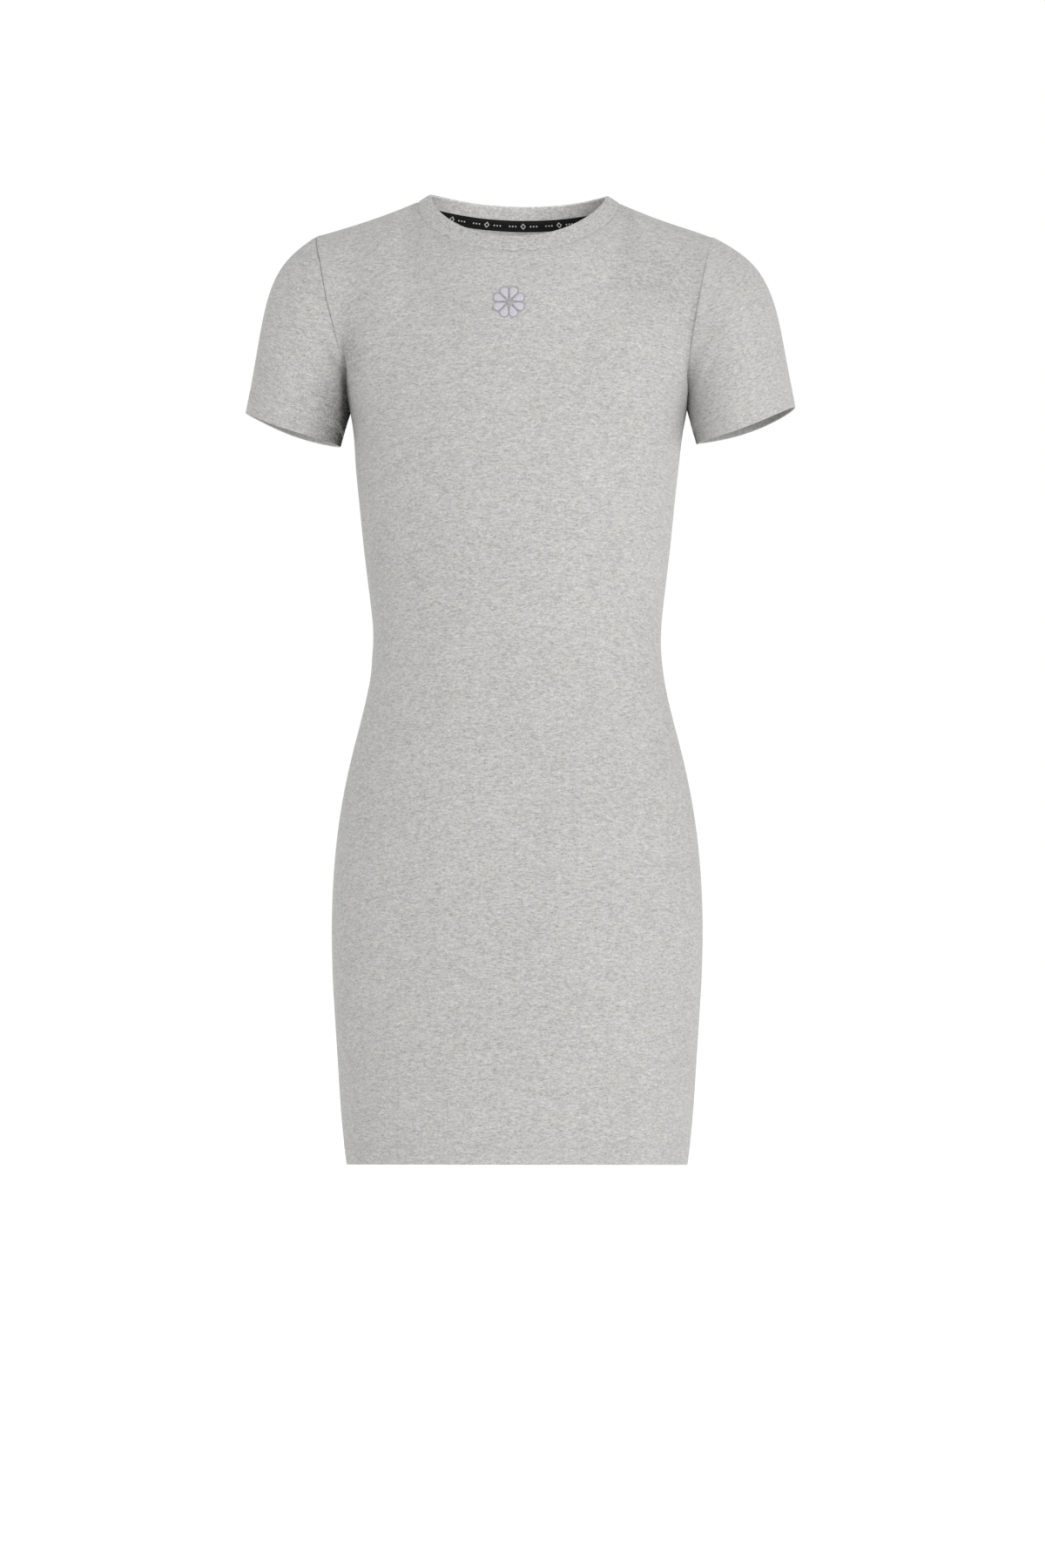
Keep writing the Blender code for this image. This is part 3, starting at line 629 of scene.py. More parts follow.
# ------------------------------------------------------------------ meshes
def make_object(name, verts, faces, materials, grain=None, painted_shade=None,
                face_material=None):
    mesh = bpy.data.meshes.new(name)
    mesh.from_pydata((np.asarray(verts) * MM).tolist(), [],
                     np.asarray(faces).tolist())
    mesh.validate()
    mesh.update()
    obj = bpy.data.objects.new(name, mesh)
    bpy.context.scene.collection.objects.link(obj)
    for material in materials:
        mesh.materials.append(material)
    if grain is not None:
        layer = mesh.attributes.new("grain", "FLOAT_VECTOR", "POINT")
        layer.data.foreach_set(
            "vector", (np.asarray(grain) * MM).astype(np.float32).ravel())
    # per-point painted shade, which the jersey's shader turns into darker colour
    if painted_shade is not None:
        layer = mesh.attributes.new("painted_shade", "FLOAT", "POINT")
        layer.data.foreach_set("value", np.asarray(painted_shade, np.float32).ravel())
    if face_material is not None:
        mesh.polygons.foreach_set("material_index",
                                  np.asarray(face_material, np.int32))
    mesh.shade_smooth()
    mesh.set_sharp_from_angle(angle=math.radians(60))
    return obj


def outward(verts, faces):
    f = np.asarray(faces)
    a, b, c, d = (verts[f[:, k]] for k in range(4))
    return float(np.sum(a * np.cross(b, c)) + np.sum(a * np.cross(c, d))) > 0


def shell(name, outer, inner, grain, painted_shade, closed, material, lining=None):
    """Closed wall from its outer and inner faces, given as grids.  The inner
    face may take a lighter or darker copy of the material: painted light or
    shade."""
    rows, cols = outer.shape[:2]
    n = rows * cols
    quads = cell_faces(rows, cols, closed)
    faces = [quads, quads[:, ::-1] + n]

    def rim(line, flip):
        line = np.asarray(line)
        a, b = line[:-1], line[1:]
        q = np.stack([a, b, b + n, a + n], 1)
        faces.append(q if flip else q[:, ::-1])

    bottom = list(range(cols)) + ([0] if closed else [])
    top = [(rows - 1) * cols + k for k in bottom]
    rim(bottom, False)
    rim(top, True)
    if not closed:
        rim([i * cols for i in range(rows)], True)
        rim([i * cols + cols - 1 for i in range(rows)], False)
    faces = np.concatenate(faces)
    verts = np.concatenate([outer.reshape(-1, 3), inner.reshape(-1, 3)])
    if not outward(verts, faces):
        faces = faces[:, ::-1]
    grain = np.concatenate([grain.reshape(-1, 3)] * 2)
    painted_shade = np.concatenate([painted_shade.ravel(), -np.ones(n)])
    if lining is None:
        return make_object(name, verts, faces, [material], grain, painted_shade)
    index = np.zeros(len(faces), np.int32)
    index[len(quads):2 * len(quads)] = 1
    return make_object(name, verts, faces, [material, lining], grain, painted_shade,
                       index)


def bead_ring(count):
    a = np.linspace(0, 2 * math.pi, count, endpoint=False)
    return np.cos(a), np.sin(a)


def stitch_mesh(places, alongs, ups, length, width, height, sides=6):
    """One short rounded bead of thread at each place."""
    stations = (-0.5, -0.36, 0.0, 0.36, 0.5)
    girth = (0.25, 0.8, 1.0, 0.8, 0.25)
    c, s = bead_ring(sides)
    sideways = np.cross(alongs, ups)
    verts, faces = [], []
    k, m = len(stations), sides
    local = []
    for i in range(k - 1):
        for j in range(m):
            jj = (j + 1) % m
            local.append((i * m + j, i * m + jj, (i + 1) * m + jj,
                          (i + 1) * m + j))
    local = np.array(local)
    cap0, cap1 = k * m, k * m + 1
    cap = [(cap0, (j + 1) % m, j) for j in range(m)]
    cap += [(cap1, (k - 1) * m + j, (k - 1) * m + (j + 1) % m)
            for j in range(m)]
    per = k * m + 2
    for p, a, u, w in zip(places, alongs, ups, sideways):
        rings = [p + a * (f * length) + (np.outer(c, w) * (width / 2)
                                         + np.outer(s, u) * height) * g
                 for f, g in zip(stations, girth)]
        verts.append(np.concatenate(rings + [
            [p - a * (0.54 * length)], [p + a * (0.54 * length)]]))
    verts = np.concatenate(verts)
    base = np.arange(len(places))[:, None, None] * per
    quads = (local[None] + base).reshape(-1, 4)
    tris = (np.array(cap)[None] + base).reshape(-1, 3)
    return verts, quads, tris


def thread_object(name, verts, quads, tris, material, grain):
    mesh = bpy.data.meshes.new(name)
    faces = [tuple(q) for q in quads.tolist()] + [
        tuple(t) for t in tris.tolist()]
    mesh.from_pydata((verts * MM).tolist(), [], faces)
    mesh.validate()
    mesh.update()
    mesh.materials.append(material)
    layer = mesh.attributes.new("grain", "FLOAT_VECTOR", "POINT")
    layer.data.foreach_set("vector", (grain * MM).astype(np.float32).ravel())
    mesh.shade_smooth()
    obj = bpy.data.objects.new(name, mesh)
    bpy.context.scene.collection.objects.link(obj)
    return obj


def along_line(points, ups, pitch, closed=False):
    """Places every pitch along a line, with its direction and up there."""
    if closed:
        points = np.concatenate([points, points[:1]])
        ups = np.concatenate([ups, ups[:1]])
    s = lengths(points)
    count = max(2, int(round(s[-1] / pitch)))
    at = (np.arange(count) + 0.5) * s[-1] / count
    place = np.stack([np.interp(at, s, points[:, k]) for k in range(3)], 1)
    up = unit(np.stack([np.interp(at, s, ups[:, k]) for k in range(3)], 1))
    ahead = np.stack([np.interp(np.minimum(at + 0.4, s[-1]), s, points[:, k])
                      for k in range(3)], 1)
    behind = np.stack([np.interp(np.maximum(at - 0.4, 0), s, points[:, k])
                       for k in range(3)], 1)
    along = unit(ahead - behind)
    up = unit(up - along * np.sum(along * up, 1, keepdims=True))
    return place, along, up, at


# --------------------------------------------------------------- materials
class Web:
    """A material's nodes, made by short calls."""

    def __init__(self, name):
        self.material = bpy.data.materials.new(name)
        self.material.use_nodes = True
        self.tree = self.material.node_tree
        self.shader = self.tree.nodes["Principled BSDF"]

    def node(self, kind, **settings):
        made = self.tree.nodes.new(kind)
        for key, value in settings.items():
            setattr(made, key, value)
        return made

    def put(self, socket, value):
        if isinstance(value, bpy.types.NodeSocket):
            self.tree.links.new(value, socket)
        else:
            socket.default_value = value

    def math(self, operation, *values, clamp=False):
        made = self.node("ShaderNodeMath", operation=operation)
        made.use_clamp = clamp
        for socket, value in zip(made.inputs, values):
            self.put(socket, value)
        return made.outputs[0]

    def total(self, *values):
        out = values[0]
        for value in values[1:]:
            out = self.math("ADD", out, value)
        return out

    def attribute(self, name, output="Vector"):
        made = self.node("ShaderNodeAttribute", attribute_type="GEOMETRY",
                         attribute_name=name)
        return made.outputs[output]

    def scaled(self, vector, factors, offset=(0.0, 0.0, 0.0)):
        made = self.node("ShaderNodeVectorMath", operation="MULTIPLY_ADD")
        self.put(made.inputs[0], vector)
        made.inputs[1].default_value = factors
        made.inputs[2].default_value = offset
        return made.outputs[0]

    def split(self, vector):
        made = self.node("ShaderNodeSeparateXYZ")
        self.put(made.inputs[0], vector)
        return made.outputs[0], made.outputs[1], made.outputs[2]

    def noise(self, vector, detail=2.0, roughness=0.5):
        made = self.node("ShaderNodeTexNoise", noise_dimensions="3D")
        self.put(made.inputs["Vector"], vector)
        made.inputs["Scale"].default_value = 1.0
        made.inputs["Detail"].default_value = detail
        made.inputs["Roughness"].default_value = roughness
        return made.outputs[0]

    def about(self, value, gain):
        """A noise value about zero, times gain."""
        return self.math("MULTIPLY_ADD", value, gain, -0.5 * gain)

    def past(self, value, low, high):
        """0 below low, 1 above high, smooth between."""
        made = self.node("ShaderNodeMapRange", interpolation_type="SMOOTHSTEP")
        self.put(made.inputs["Value"], value)
        made.inputs["From Min"].default_value = low
        made.inputs["From Max"].default_value = high
        return made.outputs[0]

    def blend(self, factor, a, b):
        made = self.node("ShaderNodeMix", data_type="RGBA")
        self.put(made.inputs[0], factor)
        self.put(made.inputs[6], a)
        self.put(made.inputs[7], b)
        return made.outputs[2]

    def times(self, colour, factor):
        made = self.node("ShaderNodeVectorMath", operation="SCALE")
        self.put(made.inputs[0], colour[:3] if isinstance(colour, tuple)
                 else colour)
        self.put(made.inputs["Scale"], factor)
        return made.outputs[0]

    def bump(self, height, distance, strength=1.0):
        made = self.node("ShaderNodeBump")
        made.inputs["Strength"].default_value = strength
        made.inputs["Distance"].default_value = distance
        self.put(made.inputs["Height"], height)
        return made.outputs[0]

    def finish(self, **sockets):
        names = {"base": "Base Color", "roughness": "Roughness",
                 "normal": "Normal", "sheen": "Sheen Weight",
                 "sheen_roughness": "Sheen Roughness",
                 "specular": "Specular IOR Level"}
        for key, value in sockets.items():
            self.put(self.shader.inputs[names[key]], value)
        return self.material


# Heather jersey: cotton spun from light and dark fibres, so that every
# course of loops runs through short light and dark streaks.
JERSEY_ALBEDO = 0.385
JERSEY_WARM = (1.011, 1.0, 0.960, 1.0)
JERSEY_COOL = (1.005, 0.993, 0.987, 1.0)
WALE = 0.85  # mm from loop to loop along a course
COURSE = 0.66  # mm from course to course


def jersey_material(name, seed, streak=1.0, albedo=JERSEY_ALBEDO):
    web = Web(name)
    grain = web.attribute("grain")
    shift = (seed * 3.71, seed * 7.13, seed * 1.37)

    def field(across, along, detail, roughness, extra):
        """Noise with patches this many mm across and along the courses."""
        at = web.scaled(grain, (1000.0 / across, 1000.0 / along, 1.0),
                        tuple(s + extra for s in shift))
        return web.noise(at, detail, roughness)

    long_streaks = field(5.4, 1.6, 2.0, 0.55, 0.0)
    short_streaks = field(1.8, 1.1, 1.0, 0.5, 11.3)
    mottle = field(6.5, 4.2, 2.0, 0.5, 23.9)
    cloud = field(38.0, 30.0, 1.0, 0.5, 31.1)
    hue = field(24.0, 15.0, 2.0, 0.5, 47.7)
    neps = field(2.4, 0.62, 0.0, 0.5, 59.2)
    dark_hairs = field(4.6, 0.50, 0.0, 0.5, 71.4)

    value = web.total(
        web.about(long_streaks, 0.60 * streak),
        web.about(short_streaks, 0.74 * streak),
        web.about(mottle, 0.18 * streak),
        web.about(cloud, 0.08))
    light = web.math("MULTIPLY", web.past(neps, 0.66, 0.80), 0.22 * streak)
    dark = web.math("MULTIPLY", web.past(dark_hairs, 0.67, 0.80),
                    -0.26 * streak)
    # painted shade: where the attribute is positive the colour is darkened by
    # that share
    painted_shade = web.math("MULTIPLY",
                    web.math("MAXIMUM", web.attribute("painted_shade", "Fac"), 0.0),
                    -1.0)
    value = web.total(value, light, dark, painted_shade, 1.0)
    colour = web.blend(web.past(hue, 0.34, 0.66), JERSEY_COOL, JERSEY_WARM)
    colour = web.times(colour, web.math("MULTIPLY", value, albedo))

    # loops: two slanting legs to a wale, one above the other by courses
    x, y, _ = web.split(web.scaled(grain, (1000.0 / WALE, 1000.0 / COURSE,
                                           1.0)))
    leg = web.math("ABSOLUTE", web.math(
        "SUBTRACT", web.math("FRACT", x), 0.5))
    phase = web.math("FRACT", web.math("MULTIPLY_ADD", leg, 1.1, y))
    across = web.math("MULTIPLY_ADD", phase, 2.0, -1.0)
    loop = web.math("SUBTRACT", 1.0, web.math("MULTIPLY", across, across))
    side = web.math("MULTIPLY_ADD", leg, 4.0, -1.0)
    ridge = web.math("SUBTRACT", 1.0, web.math("MULTIPLY", side, side))
    height = web.total(web.math("MULTIPLY", loop, 0.5),
                       web.math("MULTIPLY", ridge, 0.4),
                       web.math("MULTIPLY", short_streaks, 0.9),
                       web.math("MULTIPLY", long_streaks, 0.8))
    normal = web.bump(height, 0.00016, 0.55)
    # the sheen fades under the painted shade as well
    sheen = web.math("MULTIPLY_ADD", painted_shade, 0.22, 0.22)
    return web.finish(base=colour, roughness=0.92, normal=normal, sheen=sheen,
                      sheen_roughness=0.55, specular=0.12)


def thread_material(name, colour, roughness=0.6, sheen=0.2):
    """Twisted sewing thread."""
    web = Web(name)
    grain = web.attribute("grain")
    twist = web.noise(web.scaled(grain, (2600.0, 900.0, 700.0)), 1.0, 0.5)
    base = web.times((*colour, 1.0), web.math("ADD", web.about(twist, 0.5),
                                              1.0))
    return web.finish(base=base, roughness=roughness,
                      normal=web.bump(twist, 0.0001, 0.5), sheen=sheen,
                      specular=0.2)


def tape_material(name):
    """Black herringbone tape with a plain woven repeat: a lozenge, then a
    line of dots."""
    web = Web(name)
    grain = web.attribute("grain")
    u, v, _ = web.split(web.scaled(grain, (1000.0, 1000.0, 1.0)))
    # twill lines that turn at the middle of every 3 mm stripe
    stripe = web.math("ABSOLUTE", web.math("SUBTRACT", web.math(
        "FRACT", web.math("MULTIPLY", v, 1.0 / 3.0)), 0.5))
    line = web.math("FRACT", web.math("MULTIPLY_ADD", stripe, 3.2,
                                      web.math("MULTIPLY", u, 1.0 / 0.75)))
    rib = web.math("ABSOLUTE", web.math("MULTIPLY_ADD", line, 2.0, -1.0))
    lint = web.noise(web.scaled(grain, (900.0, 900.0, 1.0)), 2.0, 0.5)

    middle = web.math("SUBTRACT", v, TAPE_WIDTH / 2)
    unit_at = web.math("MULTIPLY_ADD", web.math("FRACT", web.math(
        "MULTIPLY_ADD", u, 1.0 / 34.0, 0.5)), 34.0, -17.0)
    far = web.math("ABSOLUTE", unit_at)
    off = web.math("ABSOLUTE", middle)
    lozenge = web.math("ADD", web.math("MULTIPLY", far, 1 / 2.6),
                       web.math("MULTIPLY", off, 1 / 2.9))
    outline = web.math("SUBTRACT", 1.0, web.past(
        web.math("ABSOLUTE", web.math("SUBTRACT", lozenge, 0.78)), 0.12, 0.26))
    # a line of small dots between the lozenges
    beside = web.math("MULTIPLY_ADD", web.math("FRACT", web.math(
        "MULTIPLY", far, 1.0 / 2.8)), 2.8, -1.4)
    from_dot = web.math("SQRT", web.math(
        "ADD", web.math("MULTIPLY", beside, beside),
        web.math("MULTIPLY", middle, middle)))
    dots = web.math("SUBTRACT", 1.0, web.past(from_dot, 0.55, 0.85))
    dots = web.math("MULTIPLY", dots, web.past(far, 5.5, 5.7))
    dots = web.math("MULTIPLY", dots, web.math(
        "SUBTRACT", 1.0, web.past(far, 13.9, 14.1)))
    white = web.math("MAXIMUM", outline, dots)
    black = web.blend(rib, (0.003, 0.003, 0.0033, 1.0),
                      (0.010, 0.010, 0.0105, 1.0))
    base = web.blend(white, black, (0.62, 0.62, 0.60, 1.0))
    height = web.total(rib, web.math("MULTIPLY", lint, 0.5),
                       web.math("MULTIPLY", white, 0.8))
    return web.finish(base=base, roughness=0.72, normal=web.bump(
        height, 0.00015, 0.6), sheen=0.02, sheen_roughness=0.5, specular=0.18)


# ------------------------------------------------------------- the pieces
front_grid, underarm_row = panel_grid(-1)
back_grid, _ = panel_grid(1)


def sleeve_rings():
    out = {}
    for name, j, mirror in (("sleeve_left", -1, 1.0),
                            ("sleeve_right", 0, -1.0)):
        flip = np.array([mirror, 1.0, 1.0])
        out[name] = askew(sleeve_grid(front_grid[underarm_row:, j] * flip,
                                      back_grid[underarm_row:, j] * flip)
                          * flip)
    return out


grids = {"front": askew(front_grid), "back": askew(back_grid)}
grids.update(sleeve_rings())
grids["neckband"] = askew(band_grid())

INSIDE = {"front": (0, 0, -500), "back": (0, 0, -500),
          "sleeve_left": (200, 0, -130), "sleeve_right": (-200, 0, -130),
          "neckband": (0, 0, -20)}
own = {}
for _name, _grid in grids.items():
    _n = normals(_grid, cell_faces(*_grid.shape[:2],
                                   _name not in ("front", "back")))
    if np.sum(_n * (_grid - np.array(INSIDE[_name], float))) < 0:
        _n = -_n
    own[_name] = _n


def shared_normals():
    """Points that meet at a seam get the mean of their pieces' normals."""
    points = np.concatenate([g.reshape(-1, 3) for g in grids.values()])
    mine = np.concatenate([own[k].reshape(-1, 3) for k in grids])
    _, inverse = np.unique(np.round(points, 2) + 0.0, axis=0,
                           return_inverse=True)
    inverse = inverse.ravel()
    mean = np.zeros((inverse.max() + 1, 3))
    np.add.at(mean, inverse, mine)
    mean = unit(mean)[inverse]
    fit = np.sum(mean * mine, axis=1, keepdims=True)
    fold = np.clip((0.93 - fit) / 0.08, 0.0, 1.0) * (
        points[:, 2:] < FOLD_BELOW)
    mean = unit(mean * (1 - fold) + mine * fold)
    out, start = {}, 0
    for k, g in grids.items():
        count = g.shape[0] * g.shape[1]
        out[k] = mean[start:start + count].reshape(g.shape)
        start += count
    return out


shared = shared_normals()
fits = {k: np.clip(np.sum(own[k] * shared[k], axis=2), 0.7, 1.0)
        for k in grids}

# How far the armhole seams lie towards +X of where they are cut, by height:
# the dress sits a little twisted on its shoulders.
SHIFT_COLUMNS = ("height", "right_seam", "left_seam")
SHIFT = (
    (-199.0, 0.0, 0.0),
    (-195.0, 5.2, -3.6),
    (-190.0, 9.2, -4.8),
    (-182.0, 12.2, -5.6),
    (-170.0, 12.4, -5.2),
    (-161.0, 9.6, -4.4),
    (-151.0, 5.0, -3.8),
    (-140.0, 1.6, -3.4),
    (-127.0, 0.4, -3.2),
    (-106.0, -2.1, -3.6),
    (-87.0, -2.6, -4.0),
    (-64.0, -3.4, -4.6),
    (-36.0, -6.8, -5.0),
)
SEAM_HALF_WIDTH = spline(column(ARMHOLE, ARMHOLE_COLUMNS, "height"),
                         column(ARMHOLE, ARMHOLE_COLUMNS, "half_width"))


def twisted(grid, n):
    """The grid's points slid over its own surface by SHIFT."""
    x, y, z = grid[..., 0], grid[..., 1], grid[..., 2]
    heights = column(SHIFT, SHIFT_COLUMNS, "height")
    slide = np.where(x < 0,
                     np.interp(z, heights, column(SHIFT, SHIFT_COLUMNS,
                                                  "right_seam")),
                     np.interp(z, heights, column(SHIFT, SHIFT_COLUMNS,
                                                  "left_seam")))
    off = np.abs(x) - SEAM_HALF_WIDTH(np.clip(z, UNDERARM_HEIGHT, -39.0))
    slide = slide * np.exp(-(off / 24.0) ** 2)
    slide = slide * np.where(y < 3.0, 1.0, ramp(z, -130.0, -55.0))
    way = np.zeros_like(grid)
    way[..., 0] = slide
    return grid + way - n * np.sum(way * n, axis=-1, keepdims=True)


for _name in ("front", "back", "sleeve_left", "sleeve_right"):
    grids[_name] = twisted(grids[_name], shared[_name])

# where they lie: beside the tip, on the panels
TIPS = [grids["front"][-1, 0] + [1.6, 0.0, 0.0],
        grids["front"][-1, -1] + [-7.0, 0.0, 0.0]]
TIP_POINT = (0.5, 0.0)
TIP_RISE = (1.3, 0.5)


def tip_swell(grid):
    """At the shoulder tips the allowances of three seams lie in a heap."""
    out = np.zeros(grid.shape[:2])
    for tip, rise, point in zip(TIPS, TIP_RISE, TIP_POINT):
        r = np.linalg.norm(grid - tip, axis=-1)
        out += rise * np.exp(-(r / 24.0) ** 2) + point * np.exp(
            -(r / 5.0) ** 2)
    return out


def lay_of_cloth(grid, n, face, middle):
    """Place of each point on the flat cloth: across from the middle column
    along the courses, and up from the hem along the wales."""
    up = np.zeros_like(grid)
    up[..., 2] = 1.0
    up[..., 1] = -face * 0.9 * ramp(grid[..., 2], -105.0, -40.0)
    up = unit(up - n * np.sum(up * n, axis=-1, keepdims=True))
    side = np.cross(up, n)
    side = side * np.where(np.sum(side[:, middle] * [1, 0, 0]) < 0, -1, 1)
    step = np.diff(grid, axis=0)
    v = np.sum(step * (up[1:] + up[:-1]) / 2, axis=-1)
    v = np.pad(np.cumsum(v, axis=0), [(1, 0), (0, 0)])
    step = np.diff(grid, axis=1)
    u = np.sum(step * (side[:, 1:] + side[:, :-1]) / 2, axis=-1)
    u = np.pad(np.cumsum(u, axis=1), [(0, 0), (1, 0)])
    return u - u[:, middle:middle + 1], v


def painted_seam_shade(x, height):
    """Painted shade in the groove of the armhole seam: how much darker the cloth
    is coloured there.
    """
    return np.where(x < 0, 0.46, 0.05 + 0.20 * np.exp(
        -((height + 82.0) / 24.0) ** 2))


def painted_armpit_shade(grid, away):
    """Painted shade low in the fold between sleeve and body: how much darker
    the cloth is coloured there; away is the distance from the armhole seam."""
    low = np.where(grid[..., 0] < 0, 0.86 * ramp(-grid[..., 2], 162.0, 184.0),
                   0.85 * ramp(-grid[..., 2], 172.0, 190.0))
    return low * np.exp(-(away / 8.0) ** 2)


def seam_groove(x, height):
    """How deep the armhole seam is; on +X the iron has all but closed it
    below the first quarter."""
    return np.where(x < 0, 0.55, 0.08 + 0.24 * np.exp(
        -((height + 80.0) / 26.0) ** 2))


def panel(name, material, lining=None):
    grid, n = grids[name], shared[name]
    face = -1 if name == "front" else 1
    rows, cols = grid.shape[:2]
    middle = (cols - 1) // 2
    s = running(grid, 1)
    t = running(grid, 0)
    across = s - s[:, middle:middle + 1]
    side = np.minimum(s, s[:, -1:] - s)
    hem = np.repeat(np.concatenate([
        HEM_STOPS, t[len(HEM_STOPS):, middle] - t[len(HEM_STOPS) - 1, middle]
        + HEM_STOPS[-1]])[:, None], cols, 1)
    top = t[-1:] - t
    is_neck = 1 - ramp(np.abs(US), NECK_SHARE - 0.003, NECK_SHARE + 0.006)
    is_arm = np.zeros((rows, cols))
    is_arm[underarm_row:] = 1.0

    fold = creases(FRONT_CREASES if face < 0 else BACK_CREASES, across,
                   grid[..., 2])
    fold *= ramp(side, 0.0, 20.0) * ramp(top, 0.0, 16.0)
    fold += tip_swell(grid)

    back = 1.0 if face > 0 else 0.0
    edge = seam_profile(side, 0.45, 0.30 * back) * (1 - is_arm) + \
        seam_profile(side, seam_groove(across, grid[..., 2]), 0.0) * is_arm
    neck = seam_profile(top, 0.30, 0.34, 6.0) + stitch_profile(
        top, NECK_STITCH_ROWS, 0.28)
    shoulder = seam_profile(top, 0.45, 0.30 * back)
    edge = edge + is_neck * neck + (1 - is_neck) * shoulder
    edge += 0.18 * (1 - ramp(hem, 19.6, 22.8))
    edge += 0.12 * np.exp(-((hem - np.mean(STITCH_ROWS)) / 1.6) ** 2)
    edge += stitch_profile(hem, STITCH_ROWS, 0.22)

    wall = LAYER + (HEM_DOUBLE - LAYER) * (1 - ramp(
        hem, HEM_DEPTH - 0.2, HEM_DEPTH + 0.9))
    r = HEM_DOUBLE / 2
    round_off = np.where(hem < r, r - half_round(hem, HEM_DOUBLE), 0.0)
    outer = grid + n * (fold + edge - round_off)[..., None]
    inner = grid + n * (fold - wall / fits[name] + round_off)[..., None]

    lay = lay_of_cloth(grid, n, face, middle)
    grain = np.stack([*lay, np.full_like(t, 40.0 + 60.0 * face)], -1)
    # painted shade along the seams: darkest in the armhole seam's groove, lighter
    # in the side, shoulder and neck seams
    painted_shade = np.maximum(
        np.exp(-(side / 0.55) ** 2) * is_arm * painted_seam_shade(across, grid[..., 2]),
        0.14 * np.exp(-(side / 0.62) ** 2) * (1 - is_arm))
    painted_shade = np.maximum(painted_shade, (0.18 - 0.06 * is_neck) * np.exp(
        -(top / 0.6) ** 2))
    # painted shade in the armpit fold
    painted_shade = np.maximum(painted_shade, 0.8 * is_arm * painted_armpit_shade(grid, side * np.where(
        across < 0, 1.5, 2.4)))
    if face < 0:
        # the shade of the fold reaches round onto the front at -X
        x, z = grid[..., 0], grid[..., 2]
        painted_shade = np.maximum(painted_shade, 0.90 * ramp(-x, 147.5, 155.0) * ramp(
            -z, 162.0, 184.0) * ramp(z, -201.0, -196.0))
        painted_shade = np.maximum(painted_shade, 0.17 * np.exp(
            -((x + 149.0) / 15.0) ** 2 - ((z + 150.0) / 17.0) ** 2))
        # and painted shade where the +X shoulder turns a little away from the
        # light
        painted_shade = np.maximum(painted_shade, 0.08 * np.exp(
            -((x - 130.0) / 40.0) ** 2 - ((z + 84.0) / 38.0) ** 2))
    # between a hem's two rows the cover threads shade the cloth
    painted_shade = np.maximum(painted_shade, 0.03 * ramp(hem, 14.4, 15.2) * (
        1 - ramp(hem, 20.0, 20.8)))
    obj = shell(name + "_panel", outer, inner, grain, painted_shade, False, material,
                lining)
    return obj, dict(outer=outer, inner=inner, top=top, hem=hem, side=side,
                     across=across, t=t)


